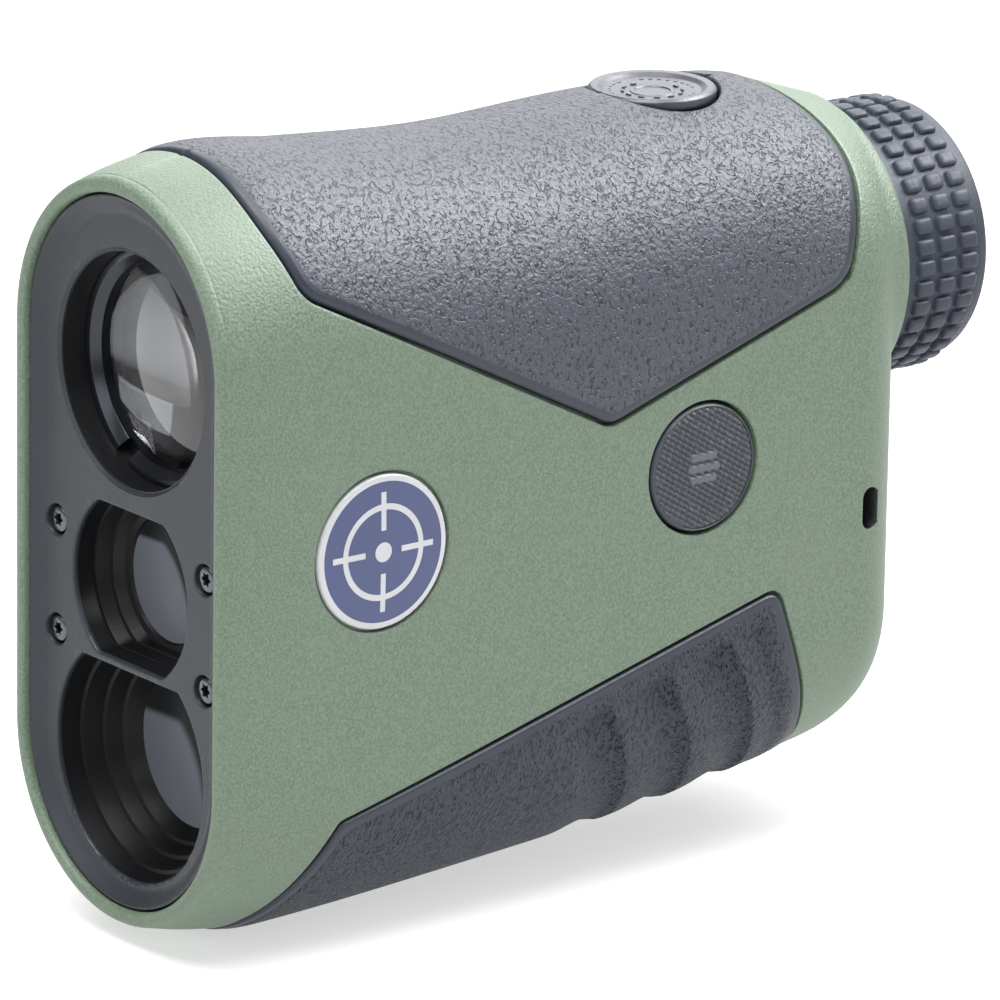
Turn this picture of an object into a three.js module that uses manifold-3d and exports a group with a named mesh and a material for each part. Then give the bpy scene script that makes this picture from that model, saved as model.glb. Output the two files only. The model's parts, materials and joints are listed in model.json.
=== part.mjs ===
// A handheld 6x21 laser rangefinder, in millimetres, +Z up, front along -Y, right-hand side +X.
//
// Shapes are written in the optical frame: the objective's axis is x = 0, z = 0, and the flat of the
// front bezel is y = 0. The exported group then moves the origin to the centre of the base.
import * as THREE from 'three';
import { mergeVertices } from 'three/addons/utils/BufferGeometryUtils.js';
import Module from 'manifold-3d';

const wasm = await Module();
wasm.setup();

// ---- Driving dimensions -------------------------------------------------------------------------

const GAP = 0.3; // between pieces that touch
const WALL = 3.0; // full thickness of the case, armour included
const ARMOUR_PROUD = 0.25; // how far the rubber armour stands out of the case
const ARMOUR_DEPTH = 1.3; // how deep its pocket in the case is

// Case
const FRONT_Y = -1.7; // plane of the front rim
const CASE_START = -0.3;
const CASE_END = 85.5; // flat of the rear face
const HALF_WIDTH = 17.8;
const NOSE_TAPER = 0.6; // how much narrower each side is at the front rim
const NOSE_END = 9.3;
const REAR_ROUND = 6.5; // radius of the rear edge

// Front face: a stadium round the three apertures
const FACE_TOP_Z = 2.2; // centre of its upper arc
const FACE_LOW_Z = -39.0; // centre of its lower arc
const RIM_INSIDE = 15.8;
const RIM_SKIRT = 16.5;
const BEZEL_R = 15.5;
const BEZEL_EDGE_Y = -1.2; // the bezel's border slopes up to here
const BEZEL_FLAT_R = 13.6; // where the slope meets the flat
const BEZEL_BACK = 1.8;
const SHOULDER_Y = BEZEL_BACK + GAP; // what the bezel and the optics sit against

// Apertures, with the z of their centres
const OBJECTIVE = { r: 12.0 };
const EMITTER = { z: -22.05, r: 9.5, flat: 7.8, lensR: 5.8, lensY: 4.8 };
const RECEIVER = { z: -39.9, r: 12.2, topFlat: 9.2, lensR: 7.2, lensY: 7.3 };

// Small screws
const BEZEL_SCREW = { x: 12.35, zs: [-18.0, -29.3], headR: 1.35, shankR: 0.8, length: 7 };
const CASE_SCREWS = [[22, 15.2], [46, 13.9], [34, -50.3], [70, -46.8]]; // y, z
const CASE_SCREW = { headR: 1.8, shankR: 0.9, tip: 6.0, bossR: 2.6 };

// Eyepiece
const EYE_Z = -0.45;
const BOSS = { r: 15.9, end: 86.3, start: 72 };
const RING = { start: 86.7, end: 97.2, grooveR: 13.75, studR: 14.3, coreR: 12.9 };
const EYECUP_END = 99.0;
const BARREL = { r: 12.2, bore: 11.3, start: 71, end: 93 };
const CELL = { r: 11.0, bore: 9.6, start: 75, end: 91.5 };

// Controls
const TOP_BUTTON = { y: 64.55, r: 6.55, top: 19.6, under: 17.3, hole: 7.2 };
const MODE_BUTTON = { y: 57.7, z: -15.2, r: 6.6, face: 18.0, hole: 6.95, flangeR: 7.9 };
const BADGE = { y: 17.5, z: -16.85, r: 7.9, inner: 17.5, face: 17.95 };
const STRAP_SLOT = { y: 79.9, z: -23.3, width: 2.1, height: 4.4, rearX: 13.0 };

// Battery: one CR2 cell behind a screw cap on the rear face
const BATTERY = { z: -31.5, r: 7.8, start: 53.5, length: 27 };
const BATTERY_TUBE = { r: 9.0, bore: 8.15, start: 49.5, end: 81.9 };
const CAP = { headR: 10.4, plugR: 7.6, end: 87.5, plugStart: 81.4, hole: 8.9 };

// Faceting
const TURN_SEGMENTS = 18;
const FINE_SEGMENTS = 26;
const SMALL_SEGMENTS = 8;
const ARC_STEPS = 10; // each half circle of the case's outline

// ---- Materials ----------------------------------------------------------------------------------

const finish = (color, roughness, metalness = 0) =>
  new THREE.MeshStandardMaterial({ color, roughness, metalness });
const greenPlastic = finish(0x7e8f7c, 0.6);
const greyRubber = finish(0x53575e, 0.75);
const blackRubber = finish(0x33363b, 0.8);
const charcoal = finish(0x484c52, 0.5);
const blackPlastic = finish(0x1d1e21, 0.5);
const blackMetal = finish(0x2a2b2f, 0.35, 0.7);
const steel = finish(0xb9bcc0, 0.3, 1);
const brass = finish(0xc2a25a, 0.35, 1);
const glass = finish(0xb8c4cc, 0.05);
const boardGreen = finish(0x1f5a37, 0.5);
const chipBlack = finish(0x18191b, 0.4);
const badgeBlue = finish(0x5b6a9b, 0.35);
const cellBlue = finish(0x2f4f7f, 0.4);

// ---- Solids -------------------------------------------------------------------------------------

// A closed mesh with shared vertices and no collapsed triangles.
function welded(geometry) {
  const bare = new THREE.BufferGeometry();
  bare.setAttribute('position', geometry.getAttribute('position'));
  if (geometry.index) bare.setIndex(geometry.index);
  const merged = mergeVertices(bare, 1e-4);
  const index = merged.index.array;
  const kept = [];
  for (let i = 0; i < index.length; i += 3) {
    const [a, b, c] = [index[i], index[i + 1], index[i + 2]];
    if (a !== b && b !== c && c !== a) kept.push(a, b, c);
  }
  merged.setIndex(kept);
  return merged;
}

function toManifold(geometry) {
  const merged = welded(geometry);
  return new wasm.Manifold(new wasm.Mesh({
    numProp: 3,
    vertProperties: new Float32Array(merged.getAttribute('position').array),
    triVerts: new Uint32Array(merged.index.array),
  }));
}

function fromManifold(solid) {
  const mesh = solid.getMesh();
  const geometry = new THREE.BufferGeometry();
  geometry.setAttribute('position', new THREE.BufferAttribute(new Float32Array(mesh.vertProperties), 3));
  geometry.setIndex(Array.from(mesh.triVerts));
  return geometry;
}

const combine = (method) => (first, ...rest) =>
  fromManifold(rest.reduce((sum, next) => sum[method](toManifold(next)), toManifold(first)));
const join = combine('add');
const cut = combine('subtract');
const common = combine('intersect');

// A box between two corners.
function box(x0, x1, y0, y1, z0, z1) {
  const geometry = new THREE.BoxGeometry(x1 - x0, y1 - y0, z1 - z0);
  return geometry.translate((x0 + x1) / 2, (y0 + y1) / 2, (z0 + z1) / 2);
}

// A solid of revolution about Y from [radius, y] points. It closes on itself or on the axis.
function turned(profile, segments = TURN_SEGMENTS) {
  let area = 0;
  profile.forEach(([r, y], i) => {
    const [r2, y2] = profile[(i + 1) % profile.length];
    area += r * y2 - r2 * y;
  });
  const ordered = area > 0 ? profile : [...profile].reverse();
  const onAxis = profile[0][0] === 0 && profile[profile.length - 1][0] === 0;
  const closed = onAxis ? ordered : [...ordered, ordered[0]];
  return welded(new THREE.LatheGeometry(closed.map(([r, y]) => new THREE.Vector2(r, y)), segments));
}

const ringY = (outer, inner, y0, y1, segments) =>
  turned([[inner, y0], [outer, y0], [outer, y1], [inner, y1]], segments);
const rodY = (r, y0, y1, x = 0, z = 0, segments = TURN_SEGMENTS) =>
  turned([[0, y0], [r, y0], [r, y1], [0, y1]], segments).translate(x, 0, z);
const rodX = (r, x0, x1, y, z, segments = TURN_SEGMENTS) =>
  rodY(r, x0, x1, 0, 0, segments).rotateZ(-Math.PI / 2).translate(0, y, z);
const rodZ = (r, z0, z1, x, y, segments = TURN_SEGMENTS) =>
  rodY(r, z0, z1, 0, 0, segments).rotateX(Math.PI / 2).translate(x, y, 0);

// A closed skin through rings of equal length, with a flat cap on each end.
function loft(rings) {
  const count = rings[0].length;
  const positions = rings.flat(2);
  const index = [];
  const at = (ring, k) => ring * count + (k % count);
  for (let ring = 0; ring + 1 < rings.length; ring += 1) {
    for (let k = 0; k < count; k += 1) {
      index.push(at(ring, k), at(ring + 1, k), at(ring, k + 1));
      index.push(at(ring, k + 1), at(ring + 1, k), at(ring + 1, k + 1));
    }
  }
  for (let k = 1; k + 1 < count; k += 1) {
    index.push(at(0, 0), at(0, k), at(0, k + 1));
    index.push(at(rings.length - 1, 0), at(rings.length - 1, k + 1), at(rings.length - 1, k));
  }
  const geometry = new THREE.BufferGeometry();
  geometry.setAttribute('position', new THREE.Float32BufferAttribute(positions, 3));
  geometry.setIndex(index);
  return geometry;
}

// ---- The case's outline -------------------------------------------------------------------------

// A smooth line through [y, z] keys, straight beyond them.
function through(keys) {
  const slopes = keys.map((key, i) => {
    const before = keys[Math.max(i - 1, 0)];
    const after = keys[Math.min(i + 1, keys.length - 1)];
    return (after[1] - before[1]) / (after[0] - before[0]);
  });
  return (y) => {
    const last = keys.length - 2;
    const i = Math.min(Math.max(keys.findIndex((key) => key[0] > y) - 1, 0), last);
    const k = y >= keys[last + 1][0] ? last : i;
    const span = keys[k + 1][0] - keys[k][0];
    const t = THREE.MathUtils.clamp((y - keys[k][0]) / span, 0, 1);
    const rise = keys[k][1] * (1 + 2 * t) * (1 - t) ** 2 + keys[k + 1][1] * t * t * (3 - 2 * t);
    return rise + span * (slopes[k] * t * (1 - t) ** 2 - slopes[k + 1] * t * t * (1 - t));
  };
}

const topLine = through([[FRONT_Y, 19.3], [3, 20.5], [10, 21.3], [20, 20.2], [38, 19.0], [58, 19.5],
  [72, 18.9], [86, 15.4]]);
const bottomLine = through([[FRONT_Y, -56.1], [4, -57.4], [10, -58.0], [35, -56.8], [60, -54.9],
  [78, -52.2], [CASE_END, -50.4]]);

function halfWidth(y) {
  const nose = THREE.MathUtils.clamp((NOSE_END - y) / (NOSE_END - FRONT_Y), 0, 1);
  const rear = THREE.MathUtils.clamp(y - (CASE_END - REAR_ROUND), 0, REAR_ROUND);
  return HALF_WIDTH - NOSE_TAPER * nose ** 2 - (REAR_ROUND - Math.sqrt(REAR_ROUND ** 2 - rear ** 2));
}

// A stadium in the plane y: two half circles of radius r joined by straight sides.
function stadium(y, r, topZ, lowZ, steps = ARC_STEPS) {
  const ring = [];
  for (let k = 0; k <= 2 * steps + 1; k += 1) {
    const top = k <= steps;
    const angle = (Math.PI * (top ? k : k - 1)) / steps;
    ring.push([r * Math.cos(angle), y, (top ? topZ : lowZ) + r * Math.sin(angle)]);
  }
  return ring;
}

// The case's section at y, moved inward by inset.
function section(y, inset = 0) {
  const r = halfWidth(y);
  return stadium(y, r - inset, topLine(y) - r, bottomLine(y) + r);
}

const BODY_STATIONS = [4, 10, 15, 20, 29, 38, 58, 66, 73, 79, 81.5, 83.5, 84.8];

function body(inset, y0, y1) {
  const inner = BODY_STATIONS.filter((y) => y > y0 + 0.5 && y < y1 - 0.3);
  return loft([y0, ...inner, y1].map((y) => section(y, inset)));
}

const facePlate = (r, y0, y1) =>
  loft([y0, y1].map((y) => stadium(y, r, FACE_TOP_Z, FACE_LOW_Z)));

// ---- Armour outlines, seen from the side --------------------------------------------------------

// Corners as [y, z, rounding radius], anticlockwise.
const TOP_ARMOUR = [[6.1, 40, 0], [6.1, 17, 14], [8.6, 9.9, 4], [45.8, -9.0, 3], [76.2, 1.0, 5],
  [81.5, 16.5, 30], [84.5, 40, 0]];
const LOWER_ARMOUR = [[6.3, -75, 0], [75, -75, 0], [74.6, -47.5, 6], [70.6, -37.5, 12], [67.9, -29.6, 2],
  [13.0, -44.0, 1], [6.4, -55.5, 5]];

// Each side moved out by grow, as a list of the new corners.
function grown(corners, grow) {
  const lines = corners.map(([y, z], i) => {
    const [y2, z2] = corners[(i + 1) % corners.length];
    const normal = new THREE.Vector2(z2 - z, y - y2).normalize();
    return { normal, offset: normal.dot(new THREE.Vector2(y, z)) + grow };
  });
  return corners.map((corner, i) => {
    const a = lines[(i + corners.length - 1) % corners.length];
    const b = lines[i];
    const det = a.normal.x * b.normal.y - a.normal.y * b.normal.x;
    const y = (a.offset * b.normal.y - b.offset * a.normal.y) / det;
    const z = (a.normal.x * b.offset - b.normal.x * a.offset) / det;
    return [y, z, corner[2]];
  });
}

// A slab along X whose outline has rounded corners.
function sideSlab(corners, grow) {
  const shape = new THREE.Shape();
  const points = grown(corners, grow).map(([y, z, r]) => ({ p: new THREE.Vector2(y, z), r }));
  points.forEach(({ p, r }, i) => {
    const toLast = points[(i + points.length - 1) % points.length].p.clone().sub(p).normalize();
    const toNext = points[(i + 1) % points.length].p.clone().sub(p).normalize();
    const half = Math.acos(THREE.MathUtils.clamp(toLast.dot(toNext), -1, 1)) / 2;
    const reach = r / Math.tan(half);
    const start = p.clone().addScaledVector(toLast, reach);
    const end = p.clone().addScaledVector(toNext, reach);
    if (i === 0) shape.moveTo(start.x, start.y);
    else shape.lineTo(start.x, start.y);
    if (r > 0) shape.quadraticCurveTo(p.x, p.y, end.x, end.y);
  });
  const slab = new THREE.ExtrudeGeometry(shape, { depth: 60, bevelEnabled: false, curveSegments: 4 });
  return slab.translate(0, 0, -30).applyMatrix4(new THREE.Matrix4().makeBasis(
    new THREE.Vector3(0, 1, 0), new THREE.Vector3(0, 0, 1), new THREE.Vector3(1, 0, 0)));
}

// ---- Case ---------------------------------------------------------------------------------------

const RIGHT = 1;
const LEFT = -1;

// What stays of one half of the case before its holes are cut.
function caseShell() {
  const skin = cut(
    join(body(0, CASE_START, CASE_END), rodY(BOSS.r, BOSS.start, BOSS.end, 0, EYE_Z, 32)),
    sideSlab(TOP_ARMOUR, GAP / 2),
    sideSlab(LOWER_ARMOUR, GAP / 2),
  );
  const core = body(ARMOUR_DEPTH, CASE_START + 3, CASE_END - 2);
  return cut(join(skin, core), body(WALL, SHOULDER_Y - 0.5, CASE_END - WALL),
    facePlate(RIM_SKIRT + GAP, CASE_START - 2, SHOULDER_Y));
}

// Lugs behind the bezel for its screws, posts for the case screws, a pad under the top button, and
// the strap anchor on the right.
function innerLugs(side) {
  const span = (a, b) => (side === RIGHT ? [a, b] : [-b, -a]);
  const lugs = BEZEL_SCREW.zs.map((z) => box(...span(10.7, 15.2), SHOULDER_Y, 9, z - 2.2, z + 2.2));
  const posts = CASE_SCREWS.map(([y, z]) => rodX(CASE_SCREW.bossR, ...span(0.15, 14), y, z, SMALL_SEGMENTS));
  const pad = common(rodZ(8.6, 15.8, 18, 0, TOP_BUTTON.y), box(...span(0.15, 20), 50, 80, 0, 30));
  const anchor = box(...span(10.6, 15.5), 77, CASE_END - 2, STRAP_SLOT.z - 4, STRAP_SLOT.z + 4);
  const inside = body(WALL / 2, SHOULDER_Y, CASE_END - 1.2);
  const parts = side === RIGHT ? [...lugs, ...posts, pad, anchor] : [...lugs, ...posts, pad];
  return common(join(...parts), inside);
}

function caseHoles(side) {
  const holes = [
    rodY(BARREL.r + GAP, 80, 90, 0, EYE_Z),
    rodY(CAP.hole, 80, 90, 0, BATTERY.z),
    rodZ(TOP_BUTTON.hole, 16.4, 30, 0, TOP_BUTTON.y),
    rodZ(2.8, 10, 30, 0, TOP_BUTTON.y),
  ];
  for (const z of BEZEL_SCREW.zs) holes.push(rodY(1.1, 1, 8, side * BEZEL_SCREW.x, z, SMALL_SEGMENTS));
  for (const [y, z] of CASE_SCREWS) holes.push(rodX(1.2, -20, CASE_SCREW.tip + 0.5, y, z, SMALL_SEGMENTS));
  if (side === LEFT) {
    for (const [y, z] of CASE_SCREWS) holes.push(rodX(CASE_SCREW.headR + GAP, -20, -screwHeadX(z, y), y, z, SMALL_SEGMENTS));
    return holes;
  }
  const { y, z, width, height, rearX } = STRAP_SLOT;
  holes.push(
    rodX(MODE_BUTTON.hole, 10, 20, MODE_BUTTON.y, MODE_BUTTON.z),
    rodX(BADGE.r + GAP, BADGE.inner - GAP, 20, BADGE.y, BADGE.z, FINE_SEGMENTS),
    box(rearX - width / 2, 20, y - width / 2, y + width / 2, z - height / 2, z + height / 2),
    box(rearX - width / 2, rearX + width / 2, y, 90, z - height / 2, z + height / 2),
  );
  return holes;
}

// How far from the middle the inner side of a case screw's head lies, clear of the armour.
function screwHeadX(z, y) {
  const r = halfWidth(y);
  const centre = z > 0 ? topLine(y) - r : bottomLine(y) + r;
  return Math.sqrt((r - ARMOUR_DEPTH) ** 2 - (z - centre) ** 2) - 4;
}

function caseHalf(side) {
  const keep = side === RIGHT ? box(0.15, 30, -10, 100, -80, 40) : box(-30, -0.15, -10, 100, -80, 40);
  return cut(join(common(caseShell(), keep), innerLugs(side)), ...caseHoles(side));
}

function frontRim() {
  const bead = loft([FRONT_Y, -1.3, -0.6].map((y) => section(y, y === FRONT_Y ? 0.35 : 0)));
  return cut(join(bead, facePlate(RIM_SKIRT, -0.8, 1.6)), facePlate(RIM_INSIDE, -4, 4));
}

// A round hole whose top and bottom are cut flat, with its chamfer at the bezel's face.
function flattedHole(r, y0, y1, z, below, above) {
  return common(rodY(r, y0, y1, 0, z), box(-20, 20, y0, y1, z - below, z + above));
}

function frontBezel() {
  const blank = facePlate(BEZEL_R, BEZEL_EDGE_Y, BEZEL_BACK);
  const dish = loft([[-1.5, BEZEL_R + 0.2], [0, BEZEL_FLAT_R]].map(([y, r]) =>
    stadium(y, r, FACE_TOP_Z, FACE_LOW_Z)));
  const screws = [-1, 1].flatMap((side) => BEZEL_SCREW.zs.map((z) =>
    turned([[0, -1], [BEZEL_SCREW.headR + 0.2, -1], [BEZEL_SCREW.headR + 0.2, 0.7], [1.1, 1.4],
      [1.1, 3], [0, 3]], SMALL_SEGMENTS).translate(side * BEZEL_SCREW.x, 0, z)));
  return cut(blank, dish,
    turned([[0, -1], [OBJECTIVE.r + 0.9, -1], [OBJECTIVE.r + 0.9, 0], [OBJECTIVE.r, 0.9],
      [OBJECTIVE.r, 3], [0, 3]], FINE_SEGMENTS),
    flattedHole(EMITTER.r, -1, 3, EMITTER.z, EMITTER.flat, EMITTER.flat),
    flattedHole(RECEIVER.r, -1, 3, RECEIVER.z, 20, RECEIVER.topFlat),
    ...screws);
}

function bezelScrew() {
  const { headR, shankR, length } = BEZEL_SCREW;
  const blank = turned([[0, 0.15], [headR, 0.15], [headR, 0.45], [shankR, 1.1], [shankR, length], [0, length]],
    SMALL_SEGMENTS);
  return cut(blank, rodY(0.6, -1, 0.75, 0, 0, 6));
}

function caseScrew(y, z) {
  const head = screwHeadX(z, y);
  const { headR, shankR, tip } = CASE_SCREW;
  const blank = turned([[0, -head - 1.2], [headR, -head - 1.2], [headR, -head - GAP], [shankR, -head - GAP],
    [shankR, tip], [0, tip]], SMALL_SEGMENTS).rotateZ(-Math.PI / 2);
  return cut(blank, rodX(0.8, -head - 3, -head - 0.8, 0, 0, 6));
}

function armourShell(slab) {
  const skin = cut(body(-ARMOUR_PROUD, CASE_START, CASE_END), body(ARMOUR_DEPTH - GAP, CASE_START - 2, 87));
  return common(skin, slab);
}

function topArmour() {
  return cut(armourShell(sideSlab(TOP_ARMOUR, -GAP / 2)), rodZ(TOP_BUTTON.hole, 10, 30, 0, TOP_BUTTON.y),
    rodY(BOSS.r + GAP, 60, 90, 0, EYE_Z));
}

// Three shallow finger grooves cross the lower armour on each side.
function lowerArmour() {
  const grooves = [47.5, 55.5, 63.5].flatMap((y) => [-1, 1].map((side) =>
    rodZ(1.6, -62, -41, 0, 0, 8).rotateX(0.2).translate(side * (HALF_WIDTH + 0.9), y, 0)));
  return cut(armourShell(sideSlab(LOWER_ARMOUR, -GAP / 2)), ...grooves);
}

// ---- Optics -------------------------------------------------------------------------------------

function objectiveTube() {
  return turned([[OBJECTIVE.r, SHOULDER_Y], [13.0, SHOULDER_Y], [13.0, 9], [12.4, 10], [12.4, 38], [8.5, 38], [10.6, 12],
    [10.6, 8.6], [OBJECTIVE.r, 8.6]]);
}

// A threaded ring with two slots for a spanner.
function retainingRing() {
  const blank = turned([[10.4, 3.9], [11.7, 3.0], [11.7, 5.0], [10.4, 5.0]], FINE_SEGMENTS);
  const slot = box(-0.9, 0.9, 2.5, 4.0, -13, 13).rotateY(THREE.MathUtils.degToRad(28));
  return cut(blank, slot);
}

// A lens with a ground edge: the two faces bulge out from their own edges.
function lens(r, frontEdge, backEdge, frontBulge, backBulge) {
  const steps = 2;
  const face = (edge, bulge) => Array.from({ length: steps + 1 }, (_, i) => {
    const radius = (r * i) / steps;
    return [radius, edge + bulge * (1 - (radius / r) ** 2)];
  });
  return turned([...face(frontEdge, -frontBulge), ...face(backEdge, backBulge).reverse()]);
}

function emitterBaffle() {
  const { z, lensR, lensY } = EMITTER;
  const outside = flattedHole(9.9, SHOULDER_Y, 20, z, 8.0, 8.0);
  const throat = turned([[0, 1], [9.2, 1], [9.2, 3.0], [7.4, 3.0], [7.4, 3.9], [lensR, 3.9],
    [lensR, lensY], [6.6, lensY], [6.6, 8.5], [5.0, 8.5], [5.0, 21], [0, 21]]).translate(0, 0, z);
  return cut(outside, common(throat, box(-20, 20, 0, 30, z - 7.4, z + 7.4)));
}

function receiverBaffle() {
  const { z, lensR, lensY, topFlat } = RECEIVER;
  const outside = flattedHole(12.7, SHOULDER_Y, 24, z, 20, topFlat + 0.25);
  const throat = turned([[0, 1], [11.6, 1], [11.6, 3.4], [10.2, 3.4], [10.2, 4.7], [9.2, 4.7],
    [9.2, 6.0], [8.2, 6.0], [lensR, 6.3], [lensR, lensY], [8.4, lensY], [8.4, 12], [6.5, 14], [4.5, 25],
    [0, 25]]).translate(0, 0, z);
  return cut(outside, common(throat, box(-20, 20, 0, 30, z - 20, z + topFlat - 0.6)));
}

// A small metal can with two leads.
function diodeCan(r, leads) {
  const can = turned([[0, 0], [r - 0.5, 0], [r - 0.5, 3], [r, 3], [r, 4], [0, 4]], 12);
  return join(can, rodY(0.25, 3.5, 4 + leads, 1, 0, 6), rodY(0.25, 3.5, 4 + leads, -1, 0, 6));
}

const plateY = (w, h, t) => box(-w / 2, w / 2, 0, t, -h / 2, h / 2);

function bulkhead() {
  const plate = loft([27, 29].map((y) => section(y, WALL + GAP)));
  return cut(plate, rodY(12.4 + GAP, 25, 31), box(-6, 6, 25, 31, -36, -20));
}

function prismHousing() {
  const shell = cut(box(-9.5, 9.5, 40, 62, -10, 10), box(-8, 8, 41.5, 60.5, -8.5, 8.5));
  return cut(shell, rodY(6.5, 38, 43), rodY(6.5, 58, 64));
}

// A roof prism: a block with its slanted faces cut away.
function roofPrism() {
  const shape = new THREE.Shape([[-6, -8], [8, -8], [8, 3], [3, 8], [-8, 8], [-8, -3]]
    .map(([y, z]) => new THREE.Vector2(y, z)));
  const block = new THREE.ExtrudeGeometry(shape, { depth: 14, bevelEnabled: false });
  return block.translate(0, 0, -7).applyMatrix4(new THREE.Matrix4().makeBasis(
    new THREE.Vector3(0, 1, 0), new THREE.Vector3(0, 0, 1), new THREE.Vector3(1, 0, 0)));
}

function eyepieceBarrel() {
  return turned([[BARREL.bore, BARREL.start], [BARREL.r + 1.2, BARREL.start], [BARREL.r + 1.2, 82],
    [BARREL.r, 82], [BARREL.r, BARREL.end], [BARREL.bore, BARREL.end]]);
}

function lensCell() {
  return turned([[CELL.bore - 1.5, CELL.start], [CELL.r, CELL.start], [CELL.r, CELL.end], [CELL.bore + 0.3, CELL.end],
    [CELL.bore + 0.3, 85], [CELL.bore - 1.2, 85], [CELL.bore - 1.2, 80], [CELL.bore, 80], [CELL.bore, 76.2],
    [CELL.bore - 1.5, 76.2]]);
}

// ---- Eyepiece ring ------------------------------------------------------------------------------

function diopterRing() {
  return turned([[BARREL.r + GAP, RING.start], [RING.coreR, RING.start], [RING.coreR, RING.end],
    [10.6, RING.end], [10.6, BARREL.end + GAP], [BARREL.r + GAP, BARREL.end + GAP]]);
}

// The rubber sleeve on the ring: raised bands where its rows of studs are.
function ringGrip() {
  const inner = RING.coreR + GAP;
  const { grooveR, studR, start, end } = RING;
  const profile = [[inner, start], [grooveR, start]];
  for (const y of [87.4, 90.7, 94.0]) {
    profile.push([grooveR, y], [studR, y], [studR, y + 2.4], [grooveR, y + 2.4]);
  }
  profile.push([grooveR, end], [inner, end]);
  return turned(profile, FINE_SEGMENTS);
}

function eyecup() {
  const start = RING.end + GAP;
  return turned([[10.9, start], [14.1, start], [14.3, start + 0.3], [14.0, 98.6], [13.2, EYECUP_END],
    [11.8, EYECUP_END], [10.9, 98.2]], FINE_SEGMENTS);
}

// ---- Controls -----------------------------------------------------------------------------------

// A dished disc on a stem with a foot that keeps it in.
function measureButton() {
  const { r, top, under } = TOP_BUTTON;
  return turned([[0, 14.6], [3.3, 14.6], [3.3, 15.5], [2.4, 15.5], [2.4, under], [r, under], [r, top - 0.5],
    [r - 0.6, top], [r - 1.2, top - 0.1], [0, top - 0.6]], FINE_SEGMENTS).rotateX(Math.PI / 2);
}

function modeButton() {
  const { r, face, flangeR } = MODE_BUTTON;
  return turned([[0, 13.7], [flangeR, 13.7], [flangeR, 14.4], [r, 14.4], [r, face - 0.5], [r - 0.5, face],
    [0, face]], FINE_SEGMENTS).rotateZ(-Math.PI / 2);
}

// A tact switch: a square body with a round plunger, standing on z = 0.
function tactSwitch() {
  return join(box(-2, 2, -2, 2, 0, 1.1), rodZ(1.0, 1.0, 1.6, 0, 0, 12));
}

// ---- Battery ------------------------------------------------------------------------------------

function batteryTube() {
  const { r, bore, start, end } = BATTERY_TUBE;
  return turned([[0, start], [r, start], [r, end], [bore, end], [bore, start + 1], [0, start + 1]]);
}

function cell() {
  const { r, length } = BATTERY;
  return turned([[0, 0], [3.2, 0], [3.2, 1.2], [r, 1.2], [r, length], [0, length]]);
}

// A conical contact spring of three turns.
class SpringPath extends THREE.Curve {
  getPoint(t) {
    const angle = t * Math.PI * 6;
    const r = 4.6 - 1.9 * t;
    return new THREE.Vector3(r * Math.cos(angle), 0.4 + 2.2 * t, r * Math.sin(angle));
  }
}

function contactSpring() {
  const wire = new THREE.Shape();
  wire.absarc(0, 0, 0.3, 0, Math.PI * 2, false);
  return new THREE.ExtrudeGeometry(wire, {
    steps: 36, bevelEnabled: false, curveSegments: 3, extrudePath: new SpringPath(),
  });
}

function batteryCap() {
  const { headR, plugR, end, plugStart } = CAP;
  const head = CASE_END + GAP;
  const blank = turned([[0, plugStart], [plugR, plugStart], [plugR, head], [headR, head], [headR, end - 0.4],
    [headR - 0.4, end], [0, end]], FINE_SEGMENTS);
  return cut(blank, box(-6, 6, end - 0.9, end + 1, -0.8, 0.8), rodY(3.4, 80, plugStart + 0.8));
}

// ---- Assembly -----------------------------------------------------------------------------------

const rangefinder = new THREE.Group();

function add(name, geometry, material, position = [0, 0, 0], rotation = [0, 0, 0]) {
  const mesh = new THREE.Mesh(welded(geometry), material);
  mesh.name = name;
  mesh.position.set(...position);
  mesh.rotation.set(...rotation);
  rangefinder.add(mesh);
}

function addCase() {
  add('case_left', caseHalf(LEFT), greenPlastic);
  add('case_right', caseHalf(RIGHT), greenPlastic);
  add('front_rim', frontRim(), greenPlastic);
  add('front_bezel', frontBezel(), charcoal);
  add('top_armour', topArmour(), greyRubber);
  add('lower_armour', lowerArmour(), greyRubber);
  add('badge', rodX(BADGE.r, BADGE.inner, BADGE.face, 0, 0, FINE_SEGMENTS), badgeBlue, [0, BADGE.y, BADGE.z]);
  let count = 0;
  for (const z of BEZEL_SCREW.zs) {
    for (const side of [LEFT, RIGHT]) {
      count += 1;
      add(`bezel_screw_${count}`, bezelScrew(), blackMetal, [side * BEZEL_SCREW.x, 0, z]);
    }
  }
  CASE_SCREWS.forEach(([y, z], i) => add(`case_screw_${i + 1}`, caseScrew(y, z), blackMetal, [0, y, z]));
}

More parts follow.
